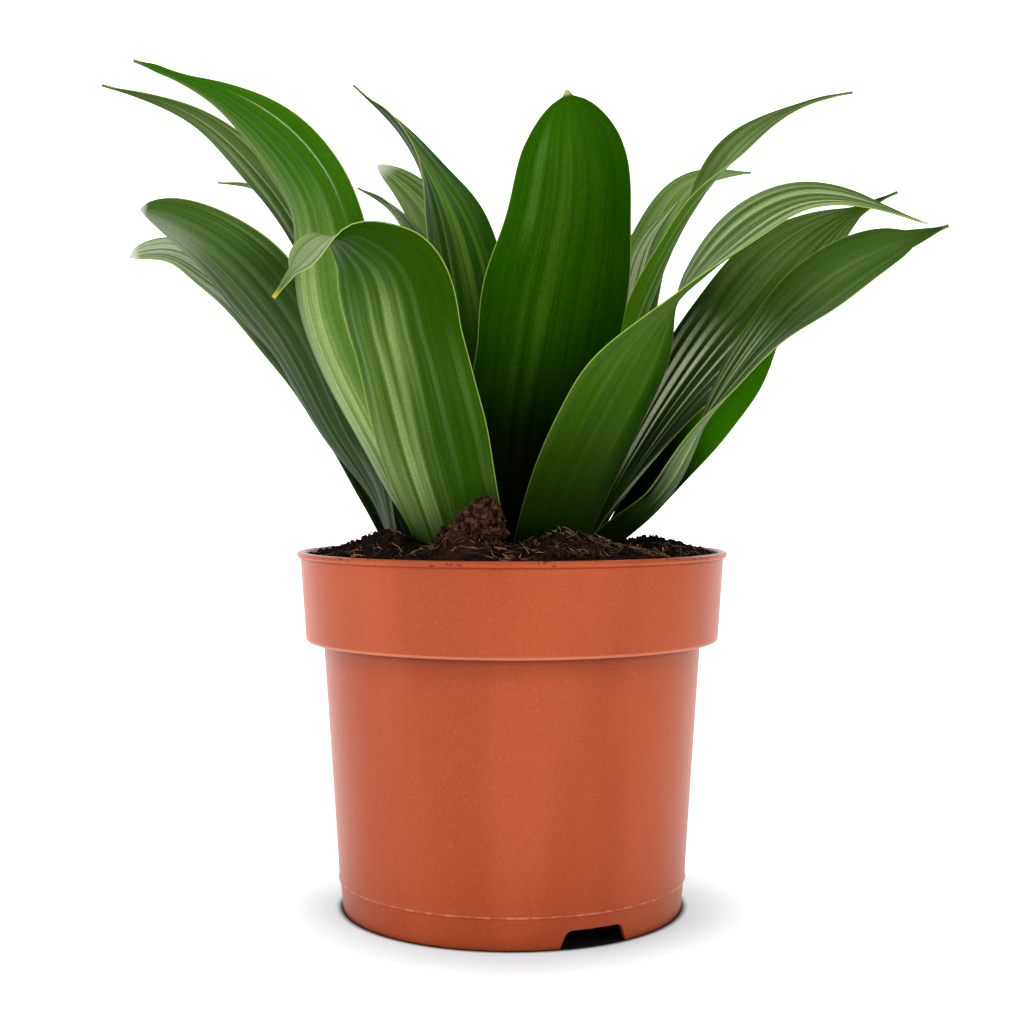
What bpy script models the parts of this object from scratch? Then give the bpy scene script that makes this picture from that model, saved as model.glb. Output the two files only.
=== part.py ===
"""A broad-leaved dracaena in a plastic nursery pot.

The pot stands on z = 0 with its axis on x = y = 0. +X is to the viewer's right and -Y is towards the
viewer. Sizes below are in millimetres and are turned into metres where a mesh is made.
"""
from math import cos, degrees, hypot, pi, radians, sin

import bmesh
import bpy
import numpy as np
from mathutils import Matrix, Vector

MM = 0.001

# Pot: a 12 cm nursery pot with a tall band under its rim
POT_HEIGHT = 100.0
RIM_RADIUS = 60.0
BAND_TOP_RADIUS = 59.0
BAND_LOW_RADIUS = 57.5
BAND_LOW_Z = 74.9
WALL_TOP_RADIUS = 52.6
WALL_LOW_RADIUS = 48.45
SEAM_RADIUS = 48.65
SEAM_Z = 8.7
FOOT_RADIUS = 47.5
WALL = 1.2
PANEL_Z = 5.0
NOTCH_WIDTH = 17.5
NOTCH_HEIGHT = 4.8
NOTCH_TURNS = (-62.3, 57.7, 177.7)
DRAIN_RADIUS = 4.0
DRAIN_CIRCLE = 31.0
DRAIN_COUNT = 6

# Soil and the hole that the crown stands in
FIT_GAP = 0.35
SOIL_EDGE_Z = 97.5
SOIL_RISE = 2.2
HOLE_FLOOR_Z = 29.7
HOLE_LOW_RADIUS = 11.2
HOLE_TOP_RADIUS = 42.8
HOLE_TOP_Z = 100.0

# Cane and leaf blades
CANE_RADIUS = 9.0
CANE_TOP_Z = 80.0
BLADE = 0.7
STATIONS = 21
ACROSS = 5

ROUND = 80


def clear_scene():
    for old in list(bpy.data.objects):
        bpy.data.objects.remove(old, do_unlink=True)


def material(name, colour, roughness):
    made = bpy.data.materials.new(name)
    made.use_nodes = True
    shader = made.node_tree.nodes["Principled BSDF"]
    shader.inputs["Base Color"].default_value = (*colour, 1.0)
    shader.inputs["Roughness"].default_value = roughness
    shader.inputs["Metallic"].default_value = 0.0
    return made


def add_object(name, points, faces, look):
    """One object from points in millimetres, with its own material."""
    mesh = bpy.data.meshes.new(name)
    mesh.from_pydata([tuple(MM * value for value in point) for point in points], [], faces)
    mesh.materials.append(look)
    thing = bpy.data.objects.new(name, mesh)
    bpy.context.scene.collection.objects.link(thing)
    return thing


def turned(name, profile, look, sides=ROUND):
    """A solid turned about the pot's axis.

    The profile runs from one point on the axis to another, up the outside and down the inside. Its
    heights are numbers, or a function of x and y where the surface is uneven.
    """
    points = []
    faces = []
    for radius, height in profile[1:-1]:
        for side in range(sides):
            angle = 2 * pi * side / sides
            x = radius * cos(angle)
            y = radius * sin(angle)
            z = height(x, y) if callable(height) else height
            points.append((x, y, z))
    rings = len(profile) - 2
    for ring in range(rings - 1):
        for side in range(sides):
            a = ring * sides + side
            b = ring * sides + (side + 1) % sides
            faces.append((a, b, b + sides))
            faces.append((a, b + sides, a + sides))
    start = len(points)
    points.append((0.0, 0.0, profile[0][1]))
    points.append((0.0, 0.0, profile[-1][1]))
    last = (rings - 1) * sides
    for side in range(sides):
        after = (side + 1) % sides
        faces.append((start, after, side))
        faces.append((start + 1, last + side, last + after))
    return add_object(name, points, faces, look)


def shade_round(thing, angle=35.0):
    thing.data.shade_smooth()
    thing.data.set_sharp_from_angle(angle=radians(angle))


# Pot

def arc(centre, radius, first, last, count):
    """Points of a profile's round stretch, its angles in degrees from the outward side."""
    out = []
    for step in range(count):
        angle = radians(first + (last - first) * step / (count - 1))
        out.append((centre[0] + radius * cos(angle), centre[1] + radius * sin(angle)))
    return out


def notch_cutter(mesh, turn):
    """A drain notch in the foot: a low arch with leaning sides and rounded shoulders."""
    half = NOTCH_WIDTH / 2
    shoulder = half - 2.6
    outline = [(-half - 0.6, -1.0)]
    outline += [(half + 0.6, -1.0)]
    outline += [(shoulder + 1.6 * cos(a), NOTCH_HEIGHT - 1.6 + 1.6 * sin(a)) for a in (0.3, 0.8, pi / 2)]
    outline += [(-shoulder - 1.6 * cos(a), NOTCH_HEIGHT - 1.6 + 1.6 * sin(a)) for a in (pi / 2, 0.8, 0.3)]
    face = mesh.faces.new([mesh.verts.new((MM * (FOOT_RADIUS - 6), MM * u, MM * z)) for u, z in outline])
    swept = bmesh.ops.extrude_face_region(mesh, geom=[face])["geom"]
    moved = [item for item in swept if isinstance(item, bmesh.types.BMVert)]
    bmesh.ops.translate(mesh, verts=moved, vec=(MM * 12, 0, 0))
    bmesh.ops.rotate(mesh, verts=moved + list(face.verts), matrix=Matrix.Rotation(radians(turn), 3, "Z"))


def drain_cutter(mesh, x, y):
    place = Matrix.Translation((MM * x, MM * y, MM * PANEL_Z))
    bmesh.ops.create_cone(mesh, cap_ends=True, segments=20, radius1=MM * DRAIN_RADIUS,
                          radius2=MM * DRAIN_RADIUS, depth=MM * 8, matrix=place)


def make_pot():
    inner_top = BAND_TOP_RADIUS - WALL
    inner_low = BAND_LOW_RADIUS - WALL
    bead_z = POT_HEIGHT - 0.9
    profile = [(0.0, PANEL_Z), (FOOT_RADIUS - WALL, PANEL_Z), (FOOT_RADIUS - WALL, 0.0), (FOOT_RADIUS, 0.0),
               (SEAM_RADIUS - 0.45, SEAM_Z - 0.5), (SEAM_RADIUS, SEAM_Z), (WALL_LOW_RADIUS, SEAM_Z + 0.5),
               (WALL_TOP_RADIUS, BAND_LOW_Z), (BAND_LOW_RADIUS - 0.3, BAND_LOW_Z),
               (BAND_LOW_RADIUS, BAND_LOW_Z + 0.4), (BAND_TOP_RADIUS, bead_z - 0.9)]
    profile += arc((RIM_RADIUS - 0.9, bead_z), 0.9, -60, 90, 5)
    profile += arc((inner_top + 0.8, bead_z), 0.9, 100, 170, 3)
    profile += [(inner_low, BAND_LOW_Z + 1.6), (WALL_TOP_RADIUS - WALL, BAND_LOW_Z + 0.7),
                (WALL_LOW_RADIUS - WALL, PANEL_Z + 2.6), (WALL_LOW_RADIUS - 2 * WALL, PANEL_Z + WALL),
                (0.0, PANEL_Z + WALL)]
    pot = turned("pot", profile, material("terracotta_plastic", (0.56, 0.11, 0.036), 0.45))

    openings = bmesh.new()
    for turn in NOTCH_TURNS:
        notch_cutter(openings, turn)
    drain_cutter(openings, 0.0, 0.0)
    for hole in range(DRAIN_COUNT):
        angle = 2 * pi * hole / DRAIN_COUNT
        drain_cutter(openings, DRAIN_CIRCLE * cos(angle), DRAIN_CIRCLE * sin(angle))
    bmesh.ops.recalc_face_normals(openings, faces=openings.faces)
    mesh = bpy.data.meshes.new("pot_openings")
    openings.to_mesh(mesh)
    openings.free()
    cutter = bpy.data.objects.new("pot_openings", mesh)
    bpy.context.scene.collection.objects.link(cutter)
    cutter.hide_render = True
    cutter.display_type = "WIRE"
    cut = pot.modifiers.new("openings", "BOOLEAN")
    cut.object = cutter
    cut.operation = "DIFFERENCE"
    shade_round(pot)
    return pot


# Soil: one packed body, its top mounded, with a lump of peat at the front

# Each rise in the top: x, y, spread, height
SOIL_RISES = ((-38.0, -26.0, 9.0, 4.0), (18.0, -44.0, 10.0, 4.0), (-12.0, -47.0, 8.5, 12.0),
              (44.0, 22.0, 10.0, 2.0), (-20.0, 46.0, 12.0, 2.5))


def soil_top(x, y):
    radius = hypot(x, y)
    inward = min(max((56.5 - radius) / 12.0, 0.0), 1.0)
    height = SOIL_EDGE_Z + SOIL_RISE * inward * inward * (3 - 2 * inward)
    for at_x, at_y, spread, rise in SOIL_RISES:
        height += rise * np.exp(-((x - at_x) ** 2 + (y - at_y) ** 2) / spread ** 2)
    angle = np.arctan2(y, x)
    return float(height + 0.5 * sin(5 * angle + 1.0) + 0.4 * sin(9 * angle + radius / 3))


def make_soil():
    floor_z = PANEL_Z + WALL + FIT_GAP
    ledge_z = BAND_LOW_Z + 0.7
    band_slope = (BAND_TOP_RADIUS - BAND_LOW_RADIUS) / (POT_HEIGHT - BAND_LOW_Z)
    edge_radius = BAND_LOW_RADIUS + band_slope * (SOIL_EDGE_Z - BAND_LOW_Z) - WALL - FIT_GAP - 0.3
    profile = [(0.0, floor_z), (WALL_LOW_RADIUS - 2 * WALL - FIT_GAP, floor_z),
               (WALL_LOW_RADIUS - WALL - FIT_GAP, PANEL_Z + 2.8),
               (WALL_TOP_RADIUS - WALL - FIT_GAP, ledge_z + FIT_GAP),
               (BAND_LOW_RADIUS - WALL - FIT_GAP, ledge_z + 0.9 + 2 * FIT_GAP),
               (edge_radius, soil_top)]
    profile += [(edge_radius - inward, soil_top) for inward in (2.5, 5.5, 8.5, 11.0)]
    hole_slope = (HOLE_TOP_RADIUS - HOLE_LOW_RADIUS) / (HOLE_TOP_Z - HOLE_FLOOR_Z)
    for height in (98.0, 80.0, 55.0, HOLE_FLOOR_Z):
        profile.append((HOLE_LOW_RADIUS + hole_slope * (height - HOLE_FLOOR_Z), height))
    profile.append((0.0, HOLE_FLOOR_Z))
    soil = turned("potting_soil", profile, material("peat", (0.032, 0.016, 0.009), 0.95), sides=72)
    shade_round(soil, 60.0)
    return soil


# Cane: the short stem that all leaves grow from, standing in the soil's hole

def make_cane():
    foot_z = HOLE_FLOOR_Z + 0.3
    dome = arc((CANE_RADIUS - 4.0, CANE_TOP_Z - 4.0), 4.0, 0, 75, 4)
    profile = [(0.0, foot_z), (CANE_RADIUS - 1.0, foot_z), (CANE_RADIUS, foot_z + 1.0)] + dome
    profile.append((0.0, CANE_TOP_Z))
    cane = turned("stem", profile, material("cane_green", (0.16, 0.2, 0.06), 0.6), sides=32)
    shade_round(cane)
    return cane


# Leaves: each clasps the cane at its node, rises through the hole in the soil, opens and arches over

def smooth_route(points, start, count):
    """A smooth curve through the points, leaving the first along start."""
    knots = np.array(points, float)
    steps = np.diff(knots, axis=0)
    spans = np.linalg.norm(steps, axis=1)
    ways = steps / spans[:, None]
    slopes = np.zeros_like(knots)
    slopes[0] = start
    for i in range(1, len(knots) - 1):
        slopes[i] = (ways[i - 1] * spans[i] + ways[i] * spans[i - 1]) / (spans[i - 1] + spans[i])
    slopes[-1] = 1.5 * ways[-1] - 0.5 * slopes[-2]
    ends = np.concatenate([[0], np.cumsum(spans)])
    route = []
    for distance in np.linspace(0, ends[-1], count):
        i = min(np.searchsorted(ends, distance, side="right") - 1, len(spans) - 1)
        q = (distance - ends[i]) / spans[i]
        route.append((2 * q ** 3 - 3 * q ** 2 + 1) * knots[i]
                     + (q ** 3 - 2 * q ** 2 + q) * spans[i] * slopes[i]
                     + (3 * q ** 2 - 2 * q ** 3) * knots[i + 1]
                     + (q ** 3 - q ** 2) * spans[i] * slopes[i + 1])
    return np.array(route)


def evenly(points, count):
    lengths = np.concatenate([[0], np.cumsum(np.linalg.norm(np.diff(points, axis=0), axis=1))])
    places = np.linspace(0, lengths[-1], count)
    return np.stack([np.interp(places, lengths, points[:, axis]) for axis in range(3)], axis=1)


def blend(values, t):
    """A smooth run through values that are spaced evenly from base to tip."""
    knots = np.array(values, float)
    places = np.linspace(0, 1, len(knots))
    slopes = np.gradient(knots, places)
    i = np.clip((t * (len(knots) - 1)).astype(int), 0, len(knots) - 2)
    span = places[1]
    q = (t - places[i]) / span
    return ((2 * q ** 3 - 3 * q ** 2 + 1) * knots[i] + (q ** 3 - 2 * q ** 2 + q) * span * slopes[i]
            + (3 * q ** 2 - 2 * q ** 3) * knots[i + 1] + (q ** 3 - q ** 2) * span * slopes[i + 1])


def half_width(t, width, base, widest, taper, drip):
    """Half the blade's width from base to tip. Its drip tip is a narrow point: drip holds the share of the
    length that it takes and half its width."""
    share, thin = drip
    low = base + (1 - base) * np.sin(pi / 2 * np.clip(t / widest, 0, 1)) ** 1.9
    high = (1 - np.clip((t - widest) / (1 - share - widest), 0, 1) ** 2.2) ** taper
    point = thin * np.clip((1 - t) / max(share, 0.01), 0, 1)
    return np.maximum(np.hypot(width / 2 * np.where(t < widest, low, high), point), 0.5)


def blade_grid(node, turn, lean, route, width, widest=0.55, taper=0.9, base=0.28, roll=(0, 0, 0),
               channel=(14, 22), drip=(0, 0), stations=STATIONS, across=ACROSS):
    """Points of a blade's middle surface, by station and across."""
    facing = radians(turn)
    tilt = radians(lean)
    clasp = CANE_RADIUS + FIT_GAP + BLADE / 2
    foot = (clasp * cos(facing), clasp * sin(facing), node)
    start = (cos(facing) * sin(tilt), sin(facing) * sin(tilt), cos(tilt))
    fine = 240
    line = evenly(smooth_route((foot,) + route, start, fine), fine)
    ahead = np.gradient(line, axis=0)
    ahead /= np.linalg.norm(ahead, axis=1)[:, None]
    side = np.zeros_like(ahead)
    side[0] = (-sin(facing), cos(facing), 0)
    for i in range(fine):
        carried = side[i - 1] if i else side[0]
        carried = carried - ahead[i] * carried.dot(ahead[i])
        side[i] = carried / np.linalg.norm(carried)
    inner = np.cross(ahead, side)

    t = np.linspace(0, 1, stations)
    place = np.linspace(0, 1, fine)
    line, side, inner = [np.stack([np.interp(t, place, rows[:, axis]) for axis in range(3)], axis=1)
                         for rows in (line, side, inner)]
    turned_by = np.radians(blend(roll, t))[:, None]
    side, inner = side * np.cos(turned_by) + inner * np.sin(turned_by), \
        inner * np.cos(turned_by) - side * np.sin(turned_by)

    half = half_width(t, width, base, widest, taper, drip)
    wrap = half / np.hypot(line[:, 0], line[:, 1])
    opened = np.clip((t - 0.2) / 0.35, 0, 1)
    opened = opened * opened * (3 - 2 * opened)
    middle, tip = [radians(angle) for angle in channel]
    bend = wrap * (1 - opened) + opened * (middle + (tip - middle) * np.clip((t - 0.4) / 0.6, 0, 1))
    bend = np.maximum(bend, 0.02)[:, None]
    v = np.linspace(-1, 1, across)[None, :]
    radius = half[:, None] / bend
    sideways = radius * np.sin(bend * v)
    inwards = radius * (1 - np.cos(bend * v))
    return line[:, None, :] + side[:, None, :] * sideways[..., None] + inner[:, None, :] * inwards[..., None]


def make_leaf(name, look, **shape):
    """A blade as one sheet of triangles, thickened alike on both faces."""
    grid = blade_grid(**shape)
    stations, across = grid.shape[:2]
    faces = []
    for i in range(stations - 1):
        for j in range(across - 1):
            a = i * across + j
            faces.append((a, a + across, a + across + 1))
            faces.append((a, a + across + 1, a + 1))
    leaf = add_object(name, [tuple(point) for point in grid.reshape(-1, 3)], faces, look)
    thick = leaf.modifiers.new("thickness", "SOLIDIFY")
    thick.thickness = MM * BLADE
    thick.offset = 0.0
    leaf.data.shade_smooth()
    return leaf


# For each leaf: the height of its node on the cane, the way it faces (degrees, 0 to the right and 270 to the
# front), its lean at the node, the points its midline passes through from soil level to the tip, its full
# width, and how it rolls about its midline from base to tip.
LEAVES = {
    "leaf_front_left": dict(
        node=34, turn=242, lean=20, width=35, widest=0.6, taper=0.6, base=0.25, roll=(0, 0, 0, 0, 0,
        0, 0, 0, 0, -28, -75), drip=(0.05, 1.5),
        route=((-14, -28, 100), (-21.5, -34, 127), (-27.5, -46, 154), (-33, -56, 173.5), (-41.5, -62, 178),
               (-49.5, -64.5, 171.5), (-57, -66, 163))),
    "leaf_front_right": dict(
        node=31, turn=292, lean=26, width=30, widest=0.6, base=0.28, roll=(0, 2, 4, 6, 10, 16, 28,
        64, 85, 80, 60), drip=(0.05, 1.5),
        route=((10, -32, 100), (16, -34, 117), (27.7, -43, 141), (42.7, -54, 166), (70, -62, 186.5),
               (99.3, -66, 180.5))),
    "leaf_front_broad": dict(
        node=50, turn=284, lean=12, width=38.5, widest=0.62, taper=0.52, channel=(10, 12),
        drip=(0.01, 1.5),
        route=((4, -18, 100), (5, -21, 127), (10, -31, 157), (15, -55, 194), (13, -69, 211.5))),
    "leaf_right_low": dict(
        node=41, turn=329, lean=27, width=26.5, taper=0.55, base=0.26, roll=(0, -4, -3, 4, 11, 18,
        33, 48, 74, 92, 98), drip=(0.06, 2.5),
        route=((25, -13, 100), (40, -13, 113), (54.1, -23, 139), (85.9, -31.5, 173.3), (114, -30, 185.7))),
    "leaf_right": dict(
        node=48, turn=357, lean=14, width=34, widest=0.64, base=0.22, roll=(0, 8, 30, 62, 60),
        drip=(0.06, 2),
        route=((22, -1, 100), (40.5, 5, 131.5), (64, 11, 162), (93, 13, 193), (111, 13, 202))),
    "leaf_right_back_low": dict(
        node=44, turn=8, lean=15, width=30, taper=1.2, roll=(0, -5, -34, -38, -20),
        route=((27.3, 6, 100), (42.4, 15.5, 118), (68.8, 23, 149), (87, 27, 177), (102.2, 28.5, 190.5))),
    "leaf_right_tall": dict(
        node=65, turn=10, lean=8, width=19, widest=0.55, taper=1.3, roll=(0, -10, -20, -28, -10, 40,
        50), channel=(45, 15), drip=(0.04, 1),
        route=((14, 2, 100), (29.5, 8, 141.5), (40, 14, 172), (52, 20, 196.5), (70, 26, 220.5),
               (87.5, 29, 231.2), (101.5, 30, 234.6))),
    "leaf_back_right": dict(
        node=46, turn=51, lean=15, width=24, base=0.22,
        route=((17, 20, 100), (29, 38, 143), (37, 52, 172), (44, 58, 193), (57, 64, 213), (77, 68, 218))),
    "leaf_back_right_inner": dict(
        node=54, turn=54, lean=14, width=24, base=0.22, channel=(45, 50), roll=(0, -15, -28, -30,
        -28),
        route=((10.5, 17, 100), (20.5, 33, 143), (37, 39, 172), (43, 46, 192), (52, 52, 206))),
    "leaf_back_short": dict(
        node=40, turn=77, lean=19, width=24, base=0.2,
        route=((5, 28, 100), (3, 44, 130), (6, 58, 165), (7, 68, 186))),
    "leaf_back": dict(
        node=36, turn=106, lean=22, width=28, base=0.2,
        route=((-12, 31, 100), (-15, 45, 125), (-17, 62, 160), (-19, 71, 184))),
    "leaf_back_left": dict(
        node=50, turn=103, lean=14, width=24, taper=0.6, base=0.22,
        route=((-5, 24.5, 100), (-8, 38, 143), (-18, 48, 178), (-28, 60, 206), (-43, 66, 220))),
    "leaf_back_left_inner": dict(
        node=57, turn=132, lean=10, width=25, channel=(30, 35), roll=(0, 10, 20, 22, 22),
        route=((-9, 10, 100), (-15, 19, 143), (-26, 30, 183), (-37, 36, 201), (-47, 40, 208))),
    "leaf_back_left_tall": dict(
        node=64, turn=150, lean=6, width=34, taper=0.7, channel=(25, 35), roll=(0, -5, -12, -16,
        -12, 8, 8), drip=(0.04, 1),
        route=((-9, 5, 100), (-10, 9, 142), (-13, 14, 171), (-22, 20, 203), (-31, 24, 219), (-47, 27, 236))),
    "leaf_left_back": dict(
        node=51, turn=147, lean=18, width=26, base=0.22, roll=(0, 5, 10),
        route=((-18, 13, 100), (-28, 22.5, 135), (-55, 34, 180), (-79, 40, 208), (-90, 42, 210))),
    "leaf_left_low": dict(
        node=33, turn=148, lean=30, width=31, widest=0.72, taper=0.5, base=0.18, roll=(0, -14, -20,
        -8, 0),
        route=((-31.2, 23.5, 100), (-37.3, 30.5, 112), (-48.2, 37.5, 130), (-63.2, 42, 150),
               (-93.3, 44, 179.5), (-105, 42, 188.3), (-116.5, 39.5, 187))),
    "leaf_left_wide": dict(
        node=38, turn=174, lean=22, width=41, widest=0.75, taper=0.46, base=0.22, roll=(0, 5, 26,
        38, 38),
        route=((-34, 6, 100), (-39, 10, 114), (-50, 10, 132), (-67, 5, 164), (-90.3, 1, 185.7),
               (-103.5, 0, 193.5))),
    "leaf_left_upper": dict(
        node=54, turn=182, lean=10, width=28, taper=1.3, base=0.22, roll=(0, 5, 12, 22, 22),
        route=((-17, -2, 100), (-38, -3, 142), (-51, -4, 170), (-68, -8, 199), (-87, -12, 217.5),
               (-111, -14, 226))),
    "leaf_left_tall": dict(
        node=42, turn=220, lean=20, width=41, widest=0.5, taper=1.55, base=0.2, channel=(30, 20),
        drip=(0.03, 1.3),
        route=((-20, -17.5, 100), (-30.8, -21, 123), (-47, -32, 160), (-52.5, -40, 193), (-73, -36, 216),
               (-99, -28, 229))),
    "leaf_heart": dict(
        node=68, turn=322, lean=6, width=22, channel=(30, 30),
        route=((7, -6, 100), (10, -9, 140), (13, -14, 180), (18, -20, 205))),
    "leaf_spear": dict(
        node=72, turn=90, lean=3, width=12, channel=(60, 60),
        route=((2, 5, 100), (6, 6, 150), (10, 8, 200), (12, 10, 215))),
}


def make_leaves():
    for name, shape in LEAVES.items():
        make_leaf(name, material(name + "_green", (0.1, 0.23, 0.05), 0.5), **shape)


clear_scene()
make_pot()
make_soil()
make_cane()
make_leaves()
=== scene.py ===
from math import cos, hypot, pi, radians, sin

import bmesh
import bpy
import numpy as np
from mathutils import Matrix, Vector, noise


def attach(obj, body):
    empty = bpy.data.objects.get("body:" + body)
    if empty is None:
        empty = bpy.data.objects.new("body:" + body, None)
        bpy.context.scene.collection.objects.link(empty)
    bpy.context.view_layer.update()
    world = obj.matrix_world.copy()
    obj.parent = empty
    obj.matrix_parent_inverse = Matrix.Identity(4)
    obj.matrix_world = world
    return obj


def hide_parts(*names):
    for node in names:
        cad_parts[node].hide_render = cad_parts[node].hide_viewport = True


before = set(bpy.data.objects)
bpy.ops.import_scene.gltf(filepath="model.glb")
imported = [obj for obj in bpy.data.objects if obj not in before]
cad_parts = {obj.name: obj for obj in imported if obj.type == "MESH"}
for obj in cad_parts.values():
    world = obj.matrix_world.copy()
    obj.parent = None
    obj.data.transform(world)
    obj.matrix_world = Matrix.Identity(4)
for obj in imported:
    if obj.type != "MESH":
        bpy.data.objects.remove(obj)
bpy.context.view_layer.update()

# The view of the photograph: just above the rim's height, looking almost level at the plant's front.
# The plant's axis is x = y = 0 and +X is to the right. Sizes are in millimetres, and MM makes them metres.
MM = 0.001
CAMERA_BACK = 447.5
CAMERA_HEIGHT = 120.7
CAMERA_DOWN = 1.347
CAMERA_LENS = 55.97

camera = bpy.data.objects.new("camera", bpy.data.cameras.new("camera"))
camera.data.sensor_width = 36.0
camera.data.lens = CAMERA_LENS
camera.data.clip_start = 0.01
camera.location = (0, -MM * CAMERA_BACK, MM * CAMERA_HEIGHT)
camera.rotation_euler = (radians(90 - CAMERA_DOWN), 0, 0)
bpy.context.scene.collection.objects.link(camera)
bpy.context.scene.camera = camera


# The nursery pot: one thin moulding of terracotta-coloured plastic, turned in form, with a bead round
# its rim, a tall band that overhangs the wall, a fine parting line near the foot, a raised base with
# drain holes and three drain notches in the foot.
POT_HEIGHT = 99.5
RIM_RADIUS = 60.0
BEAD = 0.85
BAND_TOP_RADIUS = 59.0
BAND_LOW_RADIUS = 57.5
BAND_LOW_Z = 74.9
WALL_TOP_RADIUS = 52.6
WALL_LOW_RADIUS = 48.45
SEAM_RADIUS = 48.65
SEAM_Z = 8.7
FOOT_RADIUS = 47.5
WALL = 1.2
PANEL_Z = 5.0
POT_SIDES = 192
FOOT_ROUND = 0.4
STEP_ROUND = 0.6
INNER_STEP = 0.7
SEAM_ROUND = 0.3
NOTCH_WIDTH = 19.0
NOTCH_HEIGHT = 4.8
NOTCH_LEAN = 0.6
NOTCH_ROUND = 2.4
NOTCH_SHOULDER = 3.2
NOTCH_REACH = 12.0
NOTCH_TURNS = (-63.4, 57.7, 177.7)
DRAIN_RADIUS = 4.0
DRAIN_SIDES = 48
DRAIN_REACH = 8.0
DRAIN_CIRCLE = 31.0
DRAIN_COUNT = 6
SHORTEST_EDGE = 0.01


def srgb(red, green, blue):
    """A colour as seen on screen, from 0 to 255, as the linear colour that a shader takes."""
    def straight(level):
        level /= 255
        return level / 12.92 if level <= 0.04045 else ((level + 0.055) / 1.055) ** 2.4
    return (straight(red), straight(green), straight(blue), 1.0)


class Value:
    """A number that changes over a surface. Arithmetic on it adds Math nodes to its look."""

    def __init__(self, look, socket):
        self.look = look
        self.socket = socket

    def maths(self, operation, first, second=None):
        sockets = {0: first} if second is None else {0: first, 1: second}
        return self.look.add("ShaderNodeMath", {"operation": operation}, sockets)

    def __add__(self, other):
        return self.maths("ADD", self, other)

    def __radd__(self, other):
        return self.maths("ADD", other, self)

    def __sub__(self, other):
        return self.maths("SUBTRACT", self, other)

    def __rsub__(self, other):
        return self.maths("SUBTRACT", other, self)

    def __mul__(self, other):
        return self.maths("MULTIPLY", self, other)

    def __rmul__(self, other):
        return self.maths("MULTIPLY", other, self)

    def __gt__(self, other):
        return self.maths("GREATER_THAN", self, other)

    def __abs__(self):
        return self.maths("ABSOLUTE", self)

    def __getitem__(self, name):
        """Another output of the same node."""
        return Value(self.look, self.socket.node.outputs[name])


class Look:
    """A material and its nodes: add() makes any node, and paint() feeds the shader's sockets."""

    def __init__(self, name):
        self.material = bpy.data.materials.new(name)
        self.material.use_nodes = True
        self.tree = self.material.node_tree
        self.shader = self.tree.nodes["Principled BSDF"]

    def add(self, kind, settings, sockets, out=0):
        node = self.tree.nodes.new(kind)
        for setting, value in settings.items():
            setattr(node, setting, value)
        for socket, value in sockets.items():
            self.feed(node.inputs[socket], value)
        return Value(self, node.outputs[out])

    def feed(self, socket, value):
        if isinstance(value, Value):
            self.tree.links.new(value.socket, socket)
        else:
            socket.default_value = value

    def paint(self, **sockets):
        for socket, value in sockets.items():
            self.feed(self.shader.inputs[socket.replace("_", " ")], value)

    def point(self, x, y, z):
        return self.add("ShaderNodeCombineXYZ", {}, {0: x, 1: y, 2: z})

    def noise(self, where, scale, detail=2.0, rough=0.5):
        return self.add("ShaderNodeTexNoise", {},
                        {"Vector": where, "Scale": scale, "Detail": detail, "Roughness": rough})

    def step(self, value, low, high, start=0.0, end=1.0):
        """Goes smoothly from start to end as value goes from low to high."""
        return self.add("ShaderNodeMapRange", {"interpolation_type": "SMOOTHSTEP"},
                        {"Value": value, "From Min": low, "From Max": high, "To Min": start, "To Max": end})

    def mix(self, share, first, second, blend="MIX"):
        return self.add("ShaderNodeMix", {"data_type": "RGBA", "blend_type": blend},
                        {0: share, 6: first, 7: second}, out=2)

    def bump(self, height, strength, distance, normal=None):
        sockets = {"Height": height, "Strength": strength, "Distance": distance}
        if normal is not None:
            sockets["Normal"] = normal
        return self.add("ShaderNodeBump", {}, sockets)


def arc(centre, radius, first, last, count):
    """Points of a profile's round stretch, its angles in degrees from the outward side."""
    angles = [radians(first + (last - first) * step / (count - 1)) for step in range(count)]
    return [(centre[0] + radius * cos(angle), centre[1] + radius * sin(angle)) for angle in angles]


def turned(name, profile, sides):
    """A closed mesh turned about the axis; heights are numbers, or functions of x and y."""
    turns = 2 * pi * np.arange(sides) / sides
    rings = []
    for radius, height in profile[1:-1]:
        x = radius * np.cos(turns)
        y = radius * np.sin(turns)
        if callable(height):
            z = np.array([height(*place) for place in zip(x, y)])
        else:
            z = np.full(sides, height)
        rings.append(np.stack([x, y, z], axis=1))
    points = np.concatenate(rings + [[(0, 0, profile[0][1])], [(0, 0, profile[-1][1])]])
    first = np.arange(sides)
    after = (first + 1) % sides
    faces = []
    for ring in range(len(rings) - 1):
        low = ring * sides
        faces += zip(low + first, low + after, low + sides + after, low + sides + first)
    start = len(rings) * sides
    last = start - sides
    faces += [(start, b, a) for a, b in zip(first, after)]
    faces += [(start + 1, last + a, last + b) for a, b in zip(first, after)]
    mesh = bpy.data.meshes.new(name)
    mesh.from_pydata((points * MM).tolist(), [], [tuple(int(i) for i in face) for face in faces])
    mesh.shade_smooth()
    return mesh


def add_piece(name, mesh, look):
    """A finished piece of the plant: in the scene, with its look, riding on the one body."""
    piece = bpy.data.objects.new(name, mesh)
    bpy.context.scene.collection.objects.link(piece)
    mesh.materials.append(look.material)
    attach(piece, "root")
    return piece


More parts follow.
